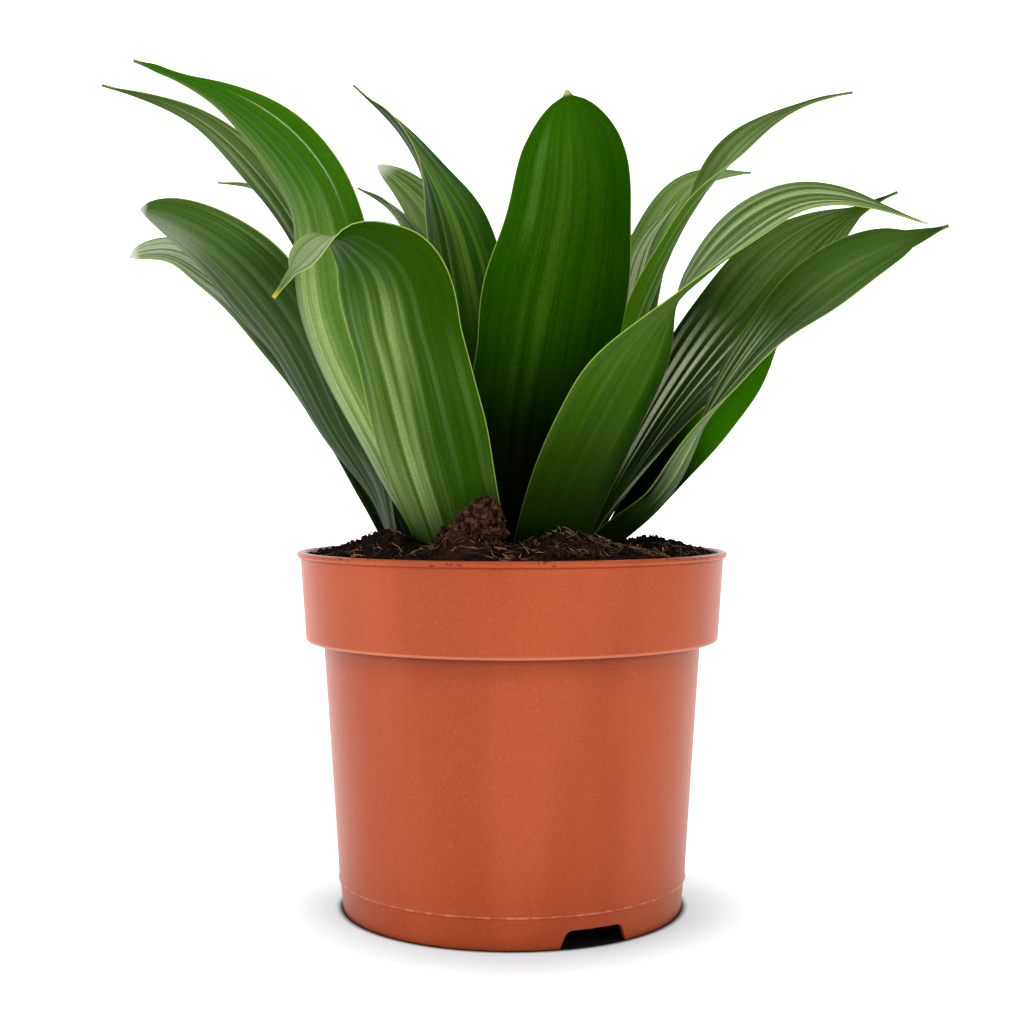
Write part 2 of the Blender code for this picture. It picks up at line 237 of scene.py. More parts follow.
def notch_cutter(cutter, turn):
    """A drain notch in the foot: a low arch with leaning sides and rounded shoulders."""
    half = NOTCH_WIDTH / 2
    corner = arc((half - NOTCH_SHOULDER, NOTCH_HEIGHT - NOTCH_ROUND), NOTCH_ROUND, 15, 90, 6)
    outline = [(-half - NOTCH_LEAN, -1.0), (half + NOTCH_LEAN, -1.0)] + corner
    outline += [(-u, z) for u, z in reversed(corner)]
    start = FOOT_RADIUS - NOTCH_REACH / 2
    face = cutter.faces.new([cutter.verts.new((MM * start, MM * u, MM * z)) for u, z in outline])
    swept = bmesh.ops.extrude_face_region(cutter, geom=[face])["geom"]
    moved = [item for item in swept if isinstance(item, bmesh.types.BMVert)]
    bmesh.ops.translate(cutter, verts=moved, vec=(MM * NOTCH_REACH, 0, 0))
    bmesh.ops.rotate(cutter, verts=moved + list(face.verts), matrix=Matrix.Rotation(radians(turn), 3, "Z"))


def drain_cutter(cutter, x, y):
    """A round drain hole through the panel."""
    bmesh.ops.create_cone(cutter, cap_ends=True, segments=DRAIN_SIDES, radius1=MM * DRAIN_RADIUS,
                          radius2=MM * DRAIN_RADIUS, depth=MM * DRAIN_REACH,
                          matrix=Matrix.Translation((MM * x, MM * y, MM * PANEL_Z)))


def pot_profile():
    """The moulding's section, from the panel's underside out round the foot, up the outside, over the
    rim and down the inside."""
    inner_top = BAND_TOP_RADIUS - WALL
    inner_low = BAND_LOW_RADIUS - WALL
    bead_z = POT_HEIGHT - BEAD
    wall_z = SEAM_Z + STEP_ROUND
    band_z = BAND_LOW_Z + STEP_ROUND
    profile = [(0.0, PANEL_Z), (FOOT_RADIUS - WALL - 0.5, PANEL_Z)]
    profile += arc((FOOT_RADIUS - WALL + FOOT_ROUND, FOOT_ROUND), FOOT_ROUND, 180, 270, 4)
    profile += arc((FOOT_RADIUS - FOOT_ROUND, FOOT_ROUND), FOOT_ROUND, 270, 360, 4)
    profile += [(SEAM_RADIUS - 0.45, SEAM_Z - 0.55)]
    profile += arc((SEAM_RADIUS - 0.25, SEAM_Z), SEAM_ROUND, -70, 70, 6)
    profile += [(WALL_LOW_RADIUS, wall_z)]
    profile += [(WALL_LOW_RADIUS + (WALL_TOP_RADIUS - WALL_LOW_RADIUS) * share,
                 wall_z + (BAND_LOW_Z - SEAM_Z - 1.4) * share) for share in (0.03, 0.25, 0.5, 0.75, 0.97)]
    profile += arc((WALL_TOP_RADIUS + STEP_ROUND, BAND_LOW_Z - STEP_ROUND), STEP_ROUND, 180, 90, 4)
    profile += arc((BAND_LOW_RADIUS - STEP_ROUND, band_z), STEP_ROUND, 270, 360, 5)
    profile += [(BAND_LOW_RADIUS + (BAND_TOP_RADIUS - BAND_LOW_RADIUS) * share,
                 band_z + (bead_z - BAND_LOW_Z - 1.6) * share) for share in (0.03, 0.5, 0.97)]
    profile += [(BAND_TOP_RADIUS, bead_z - BEAD)]
    profile += arc((RIM_RADIUS - BEAD, bead_z), BEAD, -62, 90, 9)
    profile += arc((inner_top + BEAD - 0.1, bead_z), BEAD, 100, 170, 5)
    profile += [(inner_low, BAND_LOW_Z + 1.6), (WALL_TOP_RADIUS - WALL, BAND_LOW_Z + INNER_STEP),
                (WALL_LOW_RADIUS - WALL, PANEL_Z + 2.6), (WALL_LOW_RADIUS - 2 * WALL, PANEL_Z + WALL),
                (0.0, PANEL_Z + WALL)]
    return profile


def pot_mesh():
    """The turned moulding with its drain holes and notches cut out, its long thin faces tidied."""
    mesh = turned("pot_whole", pot_profile(), POT_SIDES)

    holes = bmesh.new()
    for turn in NOTCH_TURNS:
        notch_cutter(holes, turn)
    drain_cutter(holes, 0.0, 0.0)
    for hole in range(DRAIN_COUNT):
        angle = 2 * pi * hole / DRAIN_COUNT
        drain_cutter(holes, DRAIN_CIRCLE * cos(angle), DRAIN_CIRCLE * sin(angle))
    bmesh.ops.recalc_face_normals(holes, faces=holes.faces)
    cutter_mesh = bpy.data.meshes.new("pot_holes")
    holes.to_mesh(cutter_mesh)
    holes.free()
    cutter = bpy.data.objects.new("pot_holes", cutter_mesh)
    whole = bpy.data.objects.new("pot_whole", mesh)
    for thing in (cutter, whole):
        bpy.context.scene.collection.objects.link(thing)
    cut = whole.modifiers.new("holes", "BOOLEAN")
    cut.object = cutter
    cut.operation = "DIFFERENCE"
    bpy.context.view_layer.update()
    done = bpy.data.meshes.new_from_object(whole.evaluated_get(bpy.context.evaluated_depsgraph_get()))
    for thing in (cutter, whole):
        bpy.data.objects.remove(thing)
    done.name = "pot_moulding"
    clean = bmesh.new()
    clean.from_mesh(done)
    bmesh.ops.dissolve_degenerate(clean, dist=MM * SHORTEST_EDGE, edges=clean.edges)
    bmesh.ops.triangulate(clean, faces=[face for face in clean.faces if len(face.verts) > 4])
    clean.to_mesh(done)
    clean.free()
    done.shade_smooth()
    done.set_sharp_from_angle(angle=radians(32))
    return done


def pot_look():
    """Terracotta plastic: grainy satin, flow marks from its moulding, pale scuffs, specks of soil by the
    rim, a pale dashed parting line, a painted highlight on the band's lower edge, and painted shade under
    the band, in the hollow below the rim's bead and under the raised base."""
    look = Look("terracotta_plastic")
    place = look.add("ShaderNodeTexCoord", {}, {}, out="Object")
    parts = look.add("ShaderNodeSeparateXYZ", {}, {0: place})
    height = parts["Z"]
    from_axis = parts * parts + parts["Y"] * parts["Y"]
    flow = look.noise(look.point(parts, parts["Y"], height * 0.15), 34.0, 3.0)
    grain = look.noise(place, 1500.0, 3.0, 0.8)
    colour = look.mix(look.step(flow, 0.36, 0.64), srgb(157, 62, 23), srgb(171, 72, 31))
    colour = look.mix(look.step(grain, 0.52, 0.72, 0.0, 0.55), colour, srgb(140, 50, 18))
    colour = look.mix(look.step(grain, 0.46, 0.3, 0.0, 0.25), colour, srgb(206, 112, 74))

    # A painted highlight along the band's lower edge, and the parting line drawn paler in broken dashes.
    lip_highlight = look.step(abs(height - MM * (BAND_LOW_Z + 0.45)), MM * 0.5, MM * 0.15, 0.0, 0.3)
    seam = look.step(abs(height - MM * SEAM_Z), MM * 0.4, MM * 0.12)
    seam_dashes = look.step(look.noise(place, 420.0, 2.0), 0.45, 0.6, 0.1, 0.4)
    colour = look.mix(lip_highlight + seam * seam_dashes, colour, srgb(224, 154, 124))
    # Painted shadow on the wall under the band's overhang: a dark strip right under it and fainter shade
    # lower down.
    below_band = 1 - (height > MM * (BAND_LOW_Z + 0.04))
    painted_band_shadow = look.step(height, MM * (BAND_LOW_Z - 2.2), MM * BAND_LOW_Z, 0.0, 0.62)
    band_shade = look.step(height, MM * (BAND_LOW_Z - 9.0), MM * BAND_LOW_Z, 0.0, 0.2)
    colour = look.mix((painted_band_shadow + band_shade) * below_band, colour, srgb(70, 18, 6))
    # Painted shade in the hollow just under the rim's bead.
    groove_shade = look.step(abs(height - MM * (POT_HEIGHT - 1.85)), MM * 0.3, MM * 0.1, 0.0, 0.55)
    colour = look.mix(groove_shade, colour, srgb(96, 30, 14))
    rim_zone = look.step(height, MM * (POT_HEIGHT - 2.6), MM * (POT_HEIGHT - 1.2))
    specks = look.step(look.noise(place, 520.0, 2.0, 0.6), 0.635, 0.66)
    colour = look.mix(specks * rim_zone * 0.8, colour, srgb(60, 26, 16))
    scuffs = look.step(look.noise(place, 240.0, 2.0, 0.6), 0.75, 0.8)
    colour = look.mix(scuffs * 0.12, colour, srgb(226, 160, 132))
    # Painted shade: the underside of the raised base, inside the foot, is made near black.
    hollow = MM * (FOOT_RADIUS - WALL)
    painted_shade_under_panel = look.step(from_axis, (hollow + MM * 0.1) ** 2, (hollow - MM * 0.7) ** 2) \
        * look.step(height, MM * (PANEL_Z + 0.5), MM * (PANEL_Z + 0.1))
    colour = look.mix(painted_shade_under_panel * 0.95, colour, srgb(14, 6, 4))
    look.paint(Base_Color=colour, Roughness=look.step(flow, 0.3, 0.7, 0.32, 0.38),
               Normal=look.bump(grain, 0.25, MM * 0.06))
    look.shader.inputs["Specular IOR Level"].default_value = 0.2
    return look


pot = add_piece("nursery_pot", pot_mesh(), pot_look())
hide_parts("pot")


# The potting soil: dark moist peat pressed in by hand, mounded a little above the rim, its top broken
# into crumbs. It fills the pot and closes round the cane and the leaves' bases.
FIT_GAP = 0.35
SOIL_SIDES = 480
SOIL_EDGE_Z = 97.9
SOIL_RISE = 2.2
SLOPE_OUTER = 56.5
SLOPE_WIDTH = 12.0
RUBBLE_BELT = 30.0
RUBBLE_STEP = 0.55
MIDDLE_STEP = 1.6
# Each rise in the top: x, y, spread, height
SOIL_RISES = ((-34.0, -24.0, 9.0, 5.2), (12.0, -45.0, 9.0, 5.0), (28.0, -43.0, 9.0, 2.6),
              (-12.0, -47.0, 8.5, 6.0), (44.0, 22.0, 10.0, 2.0), (-20.0, 46.0, 12.0, 2.5))


def lumps(x, y, z, size, octaves=3):
    """Uneven ground from -1 to 1, with features of about that size in millimetres."""
    return noise.fractal(Vector((x, y, z)) / size, 1.0, 2.0, octaves, noise_basis="PERLIN_ORIGINAL")


def soil_smooth(x, y):
    """The top's height without its crumbs."""
    radius = hypot(x, y)
    inward = min(max((SLOPE_OUTER - radius) / SLOPE_WIDTH, 0.0), 1.0)
    height = SOIL_EDGE_Z + SOIL_RISE * inward * inward * (3 - 2 * inward)
    for at_x, at_y, spread, rise in SOIL_RISES:
        height += rise * np.exp(-((x - at_x) ** 2 + (y - at_y) ** 2) / spread ** 2)
    return height


def soil_top(x, y):
    clods = 1.1 * lumps(x, y, 3.0, 7.0)
    crumbs = 0.9 * abs(lumps(x, y, 8.0, 2.6))
    grit = 0.35 * lumps(x, y, 5.0, 1.1, 2)
    return soil_smooth(x, y) + (clods + crumbs + grit)


def soil_mesh():
    floor_z = PANEL_Z + WALL + FIT_GAP
    ledge_z = BAND_LOW_Z + INNER_STEP
    band_slope = (BAND_TOP_RADIUS - BAND_LOW_RADIUS) / (POT_HEIGHT - BAND_LOW_Z)
    edge = BAND_LOW_RADIUS + band_slope * (SOIL_EDGE_Z - BAND_LOW_Z) - WALL - FIT_GAP
    profile = [(0.0, floor_z), (WALL_LOW_RADIUS - 2 * WALL - FIT_GAP, floor_z),
               (WALL_LOW_RADIUS - WALL - FIT_GAP, PANEL_Z + 2.8),
               (WALL_TOP_RADIUS - WALL - FIT_GAP, ledge_z + FIT_GAP),
               (BAND_LOW_RADIUS - WALL - FIT_GAP, ledge_z + 0.9 + 2 * FIT_GAP)]
    profile += [(edge - inward, soil_top) for inward in np.arange(0.0, RUBBLE_BELT, RUBBLE_STEP)]
    profile += [(edge - inward, soil_top) for inward in np.arange(RUBBLE_BELT, edge - 1.0, MIDDLE_STEP)]
    profile.append((0.0, SOIL_EDGE_Z + SOIL_RISE))
    return turned("soil_bed", profile, SOIL_SIDES)


def soil_look(name, dark, light, warm):
    """Peat: near black where moist, brown on the crumbs' dry tops, with flecks of bark and straw."""
    look = Look(name)
    place = look.add("ShaderNodeTexCoord", {}, {}, out="Object")
    broad = look.noise(place, 90.0, 3.0)
    fine = look.noise(place, 700.0, 4.0, 0.65)
    flecks = look.noise(place, 1500.0, 2.0, 0.5)
    colour = look.mix(look.step(fine, 0.38, 0.66), dark, light)
    colour = look.mix(look.step(broad, 0.5, 0.72, 0.0, 0.55), colour, warm)
    colour = look.mix(look.step(flecks, 0.7, 0.76, 0.0, 0.7), colour, srgb(140, 100, 62))
    rough_top = look.bump(fine, 0.9, MM * 0.6, look.bump(flecks, 0.5, MM * 0.25))
    look.paint(Base_Color=colour, Roughness=0.95, Normal=rough_top)
    look.shader.inputs["Specular IOR Level"].default_value = 0.08
    return look


peat = soil_look("moist_peat", srgb(7, 4, 3), srgb(36, 22, 15), srgb(56, 31, 19))
soil = add_piece("soil_bed", soil_mesh(), peat)
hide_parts("potting_soil")


# A lump of peat that was left leaning on the front-left leaf when the plant was potted.
LUMP_PLACE = (-11.0, -43.0, 101.0)
LUMP_RADII = (9.0, 6.8, 12.6)
LUMP_NARROWS = 0.38
LUMP_LEAN = 4.2


def lump_point(way, swell=1.0):
    """The lump's surface the given way from its middle: wide at its foot, its top leaning to the right."""
    x, y, z = [part * size * swell for part, size in zip(way, LUMP_RADII)]
    up = max(z / LUMP_RADII[2], 0.0)
    narrow = 1 - LUMP_NARROWS * up
    return Vector((x * narrow + LUMP_LEAN * up, y * narrow, z)) + Vector(LUMP_PLACE)


def lump_mesh():
    shape = bmesh.new()
    bmesh.ops.create_icosphere(shape, subdivisions=6, radius=1.0)
    for vert in shape.verts:
        x, y, z = [part * size for part, size in zip(vert.co, LUMP_RADII)]
        swell = 1 + 0.16 * lumps(x, y, z, 7.0) + 0.1 * abs(lumps(x, y, z + 40, 2.6)) \
            + 0.04 * lumps(x, y, z + 80, 1.1, 2)
        vert.co = lump_point(vert.co, swell) * MM
    mesh = bpy.data.meshes.new("peat_lump")
    shape.to_mesh(mesh)
    shape.free()
    mesh.shade_smooth()
    return mesh


drier_peat = soil_look("drier_peat", srgb(3, 2, 2), srgb(90, 58, 41), srgb(34, 21, 14))
add_piece("peat_lump", lump_mesh(), drier_peat)


# Loose crumbs of peat and bark: small uneven grains of many sizes, strewn thickly over the soil, and
# more of them that stick to the lump.
CRUMB_COUNT = 2300
LUMP_CRUMBS = 900
CRUMB_RADIUS = 56.0
CRUMB_LEAST = 0.3
GRAIN_SHAPES = 9
GRAIN_UNEVEN = 0.9
ANY_TURN = 6.28
chance = np.random.default_rng(11)


def grain_shapes(count):
    """A few uneven grains, as points and triangles, that the crumbs are copied from."""
    shapes = []
    for grain in range(count):
        ball = bmesh.new()
        bmesh.ops.create_icosphere(ball, subdivisions=2, radius=1.0)
        points = np.array([vert.co for vert in ball.verts])
        apart = Vector((9.0 * grain, 0, 0))
        swell = [1 + GRAIN_UNEVEN * noise.noise(Vector(point) * 1.7 + apart) for point in points]
        faces = np.array([[vert.index for vert in face.verts] for face in ball.faces])
        ball.free()
        shapes.append((points * np.array(swell)[:, None], faces))
    return shapes


def crumbs_mesh(name, places, sizes):
    shapes = grain_shapes(GRAIN_SHAPES)
    points = []
    faces = []
    total = 0
    for number, (place, size) in enumerate(zip(places, sizes)):
        shape, triangles = shapes[number % len(shapes)]
        spin = Matrix.Rotation(chance.uniform(0, ANY_TURN), 3, "Z")
        turn = spin @ Matrix.Rotation(chance.uniform(0, ANY_TURN), 3, "X")
        stretch = size * chance.uniform(0.55, 1.3, 3)
        points.append((shape * stretch) @ np.array(turn).T + place)
        faces.append(triangles + total)
        total += len(shape)
    mesh = bpy.data.meshes.new(name)
    mesh.from_pydata((np.concatenate(points) * MM).tolist(), [], np.concatenate(faces).tolist())
    return mesh


def strewn_places():
    places = []
    for _ in range(CRUMB_COUNT):
        radius = CRUMB_RADIUS * chance.uniform(0.3, 1.0) ** 0.5
        angle = chance.uniform(0, 2 * pi)
        x = radius * cos(angle)
        y = radius * sin(angle)
        places.append((x, y, soil_top(x, y) + 0.1))
    return np.array(places)


def clinging_places():
    ways = [Vector(chance.normal(size=3)).normalized() for _ in range(LUMP_CRUMBS)]
    return np.array([lump_point(way, chance.uniform(0.98, 1.1)) for way in ways])


strewn = strewn_places()
grains = CRUMB_LEAST + 1.0 * chance.uniform(0, 1, len(strewn)) ** 3.5
add_piece("soil_crumbs", crumbs_mesh("strewn_crumbs", strewn, grains), peat)
clinging = clinging_places()
grains = CRUMB_LEAST + 1.1 * chance.uniform(0, 1, len(clinging)) ** 2.5
add_piece("lump_crumbs", crumbs_mesh("clinging_crumbs", clinging, grains), drier_peat)


# Fibres in the peat: short dry straws and rootlets, tan to orange-brown, lying on the soil and
# sticking out of it, thickest on the front right.
FIBRE_COUNT = 420
FIBRE_STEPS = 7
FIBRE_SIDES = 5
FIBRE_REACH = 56.6
FRONT_RIGHT = -1.15


def fibres_mesh():
    """All the fibres as one mesh: each a thin bent tube with closed ends that follows the ground."""
    points = []
    faces = []
    for number in range(FIBRE_COUNT):
        if number % 3:
            angle = chance.normal(FRONT_RIGHT, 0.6)
            radius = chance.uniform(41, 55.5)
        else:
            angle = chance.uniform(0, 2 * pi)
            radius = chance.uniform(30, 55.5)
        length = chance.uniform(2.0, 8.0)
        way = chance.uniform(0, 2 * pi)
        bend = chance.normal(0, 0.35)
        thick = 0.05 + 0.13 * chance.uniform(0, 1) ** 2
        rise = chance.uniform(0, 1) ** 5 * 0.4
        x = radius * cos(angle)
        y = radius * sin(angle)
        route = []
        for step in range(FIBRE_STEPS):
            if hypot(x, y) < FIBRE_REACH - 0.3:
                ground = soil_smooth(x, y) + 0.75
            route.append(Vector((x, y, ground + chance.uniform(-0.15, 0.3) + rise * step)))
            way += bend
            x += length / FIBRE_STEPS * cos(way)
            y += length / FIBRE_STEPS * sin(way)
            reach = hypot(x, y)
            if reach > FIBRE_REACH:
                x *= FIBRE_REACH / reach
                y *= FIBRE_REACH / reach
        base = len(points)
        for step, at in enumerate(route):
            ahead = (route[min(step + 1, FIBRE_STEPS - 1)] - route[max(step - 1, 0)]).normalized()
            side = ahead.cross(Vector((0, 0, 1)))
            side = side.normalized() if side.length > 0.01 else Vector((1, 0, 0))
            up = side.cross(ahead)
            width = thick * (1.0 - 0.6 * abs(2 * step / (FIBRE_STEPS - 1) - 1) ** 3)
            for corner in range(FIBRE_SIDES):
                turn = 2 * pi * corner / FIBRE_SIDES
                points.append((at + (side * cos(turn) + up * sin(turn)) * width) * MM)
        for step in range(FIBRE_STEPS - 1):
            for corner in range(FIBRE_SIDES):
                a = base + step * FIBRE_SIDES + corner
                b = base + step * FIBRE_SIDES + (corner + 1) % FIBRE_SIDES
                faces.append((b, a, a + FIBRE_SIDES, b + FIBRE_SIDES))
        faces.append(tuple(base + corner for corner in range(FIBRE_SIDES)))
        faces.append(tuple(base + (FIBRE_STEPS - 1) * FIBRE_SIDES + corner
                           for corner in reversed(range(FIBRE_SIDES))))
    mesh = bpy.data.meshes.new("fibres")
    mesh.from_pydata(points, [], faces)
    mesh.shade_smooth()
    return mesh


def fibre_look():
    look = Look("dry_fibre")
    place = look.add("ShaderNodeTexCoord", {}, {}, out="Object")
    tone = look.noise(place, 260.0, 2.0)
    colour = look.mix(look.step(tone, 0.42, 0.64), srgb(58, 34, 19), srgb(168, 126, 80))
    look.paint(Base_Color=colour, Roughness=0.8)
    return look


add_piece("soil_fibres", fibres_mesh(), fibre_look())


# The cane: the short green stem, buried in the soil, that every leaf grows from.
CANE_RADIUS = 9.0
CANE_FOOT_Z = 30.0
CANE_TOP_Z = 80.0
CANE_ROUND = 4.0


def cane_look():
    look = Look("green_cane")
    place = look.add("ShaderNodeTexCoord", {}, {}, out="Object")
    height = look.add("ShaderNodeSeparateXYZ", {}, {0: place})["Z"]
    rings = look.add("ShaderNodeTexWave", {"wave_type": "BANDS", "bands_direction": "Z"},
                     {"Vector": place, "Scale": 60.0, "Distortion": 1.5})
    colour = look.mix(look.step(height, MM * 40, MM * 75), srgb(120, 104, 62), srgb(112, 138, 58))
    colour = look.mix(rings * 0.3, colour, srgb(92, 84, 48))
    look.paint(Base_Color=colour, Roughness=0.6, Normal=look.bump(rings, 0.4, MM * 0.3))
    return look


cane_profile = [(0.0, CANE_FOOT_Z), (CANE_RADIUS - 1.0, CANE_FOOT_Z), (CANE_RADIUS, CANE_FOOT_Z + 1.0)]
cane_profile += arc((CANE_RADIUS - CANE_ROUND, CANE_TOP_Z - CANE_ROUND), CANE_ROUND, 0, 75, 8)
cane_profile.append((0.0, CANE_TOP_Z))
cane = add_piece("cane", turned("cane", cane_profile, 64), cane_look())
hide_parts("stem")


# The leaves: long waxy blades that clasp the cane one above another, rise through the soil, open and
# arch over. Each is one sheet, pleated along its length, with a thin pale margin. Its lower, outer face
# and its upper, inner face each have colours of their own.
BLADE = 0.7
BLADE_STATIONS = 120
BLADE_ACROSS = 49
ROUTE_STEPS = 240
BASE_SWELL = 1.9
TIP_FULLNESS = 2.2
LEAST_HALF_WIDTH = 0.5
HALF_THICK = 0.3
MARGIN_THINNER = 0.17
MARGIN_CURL = 0.45
MARGIN_BULGE = 0.6


def between(q, span, first, last, first_slope, last_slope):
    """The cubic from first to last with those slopes, at the share q of its span."""
    return ((2 * q ** 3 - 3 * q ** 2 + 1) * first + (q ** 3 - 2 * q ** 2 + q) * span * first_slope
            + (3 * q ** 2 - 2 * q ** 3) * last + (q ** 3 - q ** 2) * span * last_slope)


def smooth_route(points, start, count):
    """A smooth curve through the points, leaving the first along start."""
    knots = np.array(points, float)
    steps = np.diff(knots, axis=0)
    spans = np.linalg.norm(steps, axis=1)
    ways = steps / spans[:, None]
    slopes = np.zeros_like(knots)
    slopes[0] = start
    for i in range(1, len(knots) - 1):
        slopes[i] = (ways[i - 1] * spans[i] + ways[i] * spans[i - 1]) / (spans[i - 1] + spans[i])
    slopes[-1] = 1.5 * ways[-1] - 0.5 * slopes[-2]
    ends = np.concatenate([[0], np.cumsum(spans)])
    route = []
    for distance in np.linspace(0, ends[-1], count):
        i = min(np.searchsorted(ends, distance, side="right") - 1, len(spans) - 1)
        q = (distance - ends[i]) / spans[i]
        route.append(between(q, spans[i], knots[i], knots[i + 1], slopes[i], slopes[i + 1]))
    return np.array(route)


def evenly(points, count):
    lengths = np.concatenate([[0], np.cumsum(np.linalg.norm(np.diff(points, axis=0), axis=1))])
    at = np.linspace(0, lengths[-1], count)
    return np.stack([np.interp(at, lengths, points[:, axis]) for axis in range(3)], axis=1)


def blend(values, t):
    """A smooth run through values that are spaced evenly from base to tip."""
    knots = np.array(values, float)
    at = np.linspace(0, 1, len(knots))
    slopes = np.gradient(knots, at)
    i = np.clip((t * (len(knots) - 1)).astype(int), 0, len(knots) - 2)
    return between((t - at[i]) / at[1], at[1], knots[i], knots[i + 1], slopes[i], slopes[i + 1])


def half_width(t, width, base, widest, taper, drip):
    """Half the blade's width at t, from base to tip: it swells from its base's share of the width to the
    widest place and then tapers. drip is the share of the length that its narrow drip tip takes, and
    half the drip tip's width."""
    share, thin = drip
    low = base + (1 - base) * np.sin(pi / 2 * np.clip(t / widest, 0, 1)) ** BASE_SWELL
    high = (1 - np.clip((t - widest) / (1 - share - widest), 0, 1) ** TIP_FULLNESS) ** taper
    point = thin * np.clip((1 - t) / max(share, 0.01), 0, 1)
    plain = width / 2 * np.where(t < widest, low, high)
    return np.maximum(np.hypot(plain, point), LEAST_HALF_WIDTH)


def blade_grid(node, turn, lean, route, width, widest=0.55, taper=0.9, base=0.28, roll=(0, 0, 0),
               channel=(14, 22), drip=(0, 0)):
    """Points of a blade's middle surface, by station and across. node is the height that it leaves the
    cane at, turn the side it faces and lean its first lean out, both in degrees. Its midline then runs
    through the route's points. roll turns it about the midline, and channel is how far its halves fold
    up in the middle and at the tip."""
    facing = radians(turn)
    tilt = radians(lean)
    clasp = CANE_RADIUS + FIT_GAP + BLADE / 2
    foot = (clasp * cos(facing), clasp * sin(facing), node)
    start = (cos(facing) * sin(tilt), sin(facing) * sin(tilt), cos(tilt))
    line = evenly(smooth_route((foot,) + route, start, ROUTE_STEPS), ROUTE_STEPS)
    ahead = np.gradient(line, axis=0)
    ahead /= np.linalg.norm(ahead, axis=1)[:, None]
    side = np.zeros_like(ahead)
    side[0] = (-sin(facing), cos(facing), 0)
    for i in range(ROUTE_STEPS):
        carried = side[i - 1] if i else side[0]
        carried = carried - ahead[i] * carried.dot(ahead[i])
        side[i] = carried / np.linalg.norm(carried)
    inner = np.cross(ahead, side)

    t = np.linspace(0, 1, BLADE_STATIONS)
    at = np.linspace(0, 1, ROUTE_STEPS)
    line, side, inner = [np.stack([np.interp(t, at, rows[:, axis]) for axis in range(3)], axis=1)
                         for rows in (line, side, inner)]
    turned_by = np.radians(blend(roll, t))[:, None]
    side, inner = side * np.cos(turned_by) + inner * np.sin(turned_by), \
        inner * np.cos(turned_by) - side * np.sin(turned_by)

    half = half_width(t, width, base, widest, taper, drip)
    wrap = half / np.hypot(line[:, 0], line[:, 1])
    opened = np.clip((t - 0.2) / 0.35, 0, 1)
    opened = opened * opened * (3 - 2 * opened)
    middle, tip = [radians(angle) for angle in channel]
    bend = wrap * (1 - opened) + opened * (middle + (tip - middle) * np.clip((t - 0.4) / 0.6, 0, 1))
    bend = np.maximum(bend, 0.02)[:, None]
    v = np.linspace(-1, 1, BLADE_ACROSS)[None, :]
    radius = half[:, None] / bend
    sideways = radius * np.sin(bend * v)
    inwards = radius * (1 - np.cos(bend * v))
    return (line[:, None, :] + side[:, None, :] * sideways[..., None]
            + inner[:, None, :] * inwards[..., None])


def blade_mesh(name, pleats=6, depth=0.2, **shape):
    """The blade as a closed sheet, pleated to that depth and thinner at its margins, its two faces side
    by side on the texture map: inner on the left half, outer on the right, base to tip upwards."""
    middle = blade_grid(**shape)
    facing = np.cross(np.gradient(middle, axis=0), np.gradient(middle, axis=1))
    facing /= np.linalg.norm(facing, axis=2)[..., None]
    t = np.linspace(0, 1, BLADE_STATIONS)[:, None]
    v = np.linspace(-1, 1, BLADE_ACROSS)[None, :]
    fade = np.clip(np.sin(pi * np.clip((t - 0.1) / 0.9, 0, 1)), 0, 1) ** 0.6 * (1 - v ** 6)
    ridges = np.cos(pi * pleats * v + 0.7 * np.sin(5 * v + pleats)) \
        + 0.35 * np.cos(1.7 * pi * pleats * v + 1.0)
    across_way = np.gradient(middle, axis=1)
    across_way /= np.linalg.norm(across_way, axis=2)[..., None]
    free = np.clip((t - 0.4) / 0.2, 0, 1) ** 2 * np.clip((1 - t) / 0.08, 0, 1)
    curl = np.where(v > 0, np.sin(16 * t + pleats) + 0.5 * np.sin(41 * t), np.sin(19 * t + 2 * pleats)
                    + 0.5 * np.sin(37 * t + pleats))
    bulge = np.where(v > 0, np.sin(23 * t + 3 * pleats), np.sin(27 * t + pleats)) * v * abs(v)
    middle = middle + facing * (depth * ridges * fade + MARGIN_CURL * free * curl * abs(v) ** 3)[..., None]
    middle = middle + across_way * (MARGIN_BULGE * free * bulge)[..., None]
    thick = HALF_THICK - MARGIN_THINNER * v ** 4 + 0 * t
    points = np.concatenate([(middle + facing * thick[..., None]).reshape(-1, 3),
                             (middle - facing * thick[..., None]).reshape(-1, 3)]) * MM
    count = BLADE_STATIONS * BLADE_ACROSS
    index = np.arange(count).reshape(BLADE_STATIONS, BLADE_ACROSS)
    a, b = index[:-1, :-1].ravel(), index[1:, :-1].ravel()
    c, d = index[1:, 1:].ravel(), index[:-1, 1:].ravel()
    inner = np.stack([a, b, c, d], axis=1)
    outer = np.stack([a, d, c, b], axis=1) + count
    edges = [(index[:-1, 0], index[1:, 0]), (index[1:, -1], index[:-1, -1]),
             (index[0, 1:], index[0, :-1]), (index[-1, :-1], index[-1, 1:])]
    rims = np.concatenate([np.stack([p, p + count, q + count, q], axis=1) for p, q in edges])
    faces = np.concatenate([inner, outer, rims])

    across = np.broadcast_to((v + 1) / 2, index.shape).ravel()
    along = np.broadcast_to(t, index.shape).ravel()
    left = np.stack([0.01 + 0.48 * across, along], axis=1)
    right = np.stack([0.51 + 0.48 * across, along], axis=1)
    corners = np.concatenate([left[inner.ravel()], right[outer.ravel() - count],
                              left[rims.ravel() % count]])
    mesh = bpy.data.meshes.new(name)
    mesh.from_pydata(points.tolist(), [], faces.tolist())
    layer = mesh.uv_layers.new(name="blade")
    layer.data.foreach_set("uv", corners.astype(np.float32).ravel())
    mesh.shade_smooth()
    mesh.set_sharp_from_angle(angle=radians(60))
    return mesh


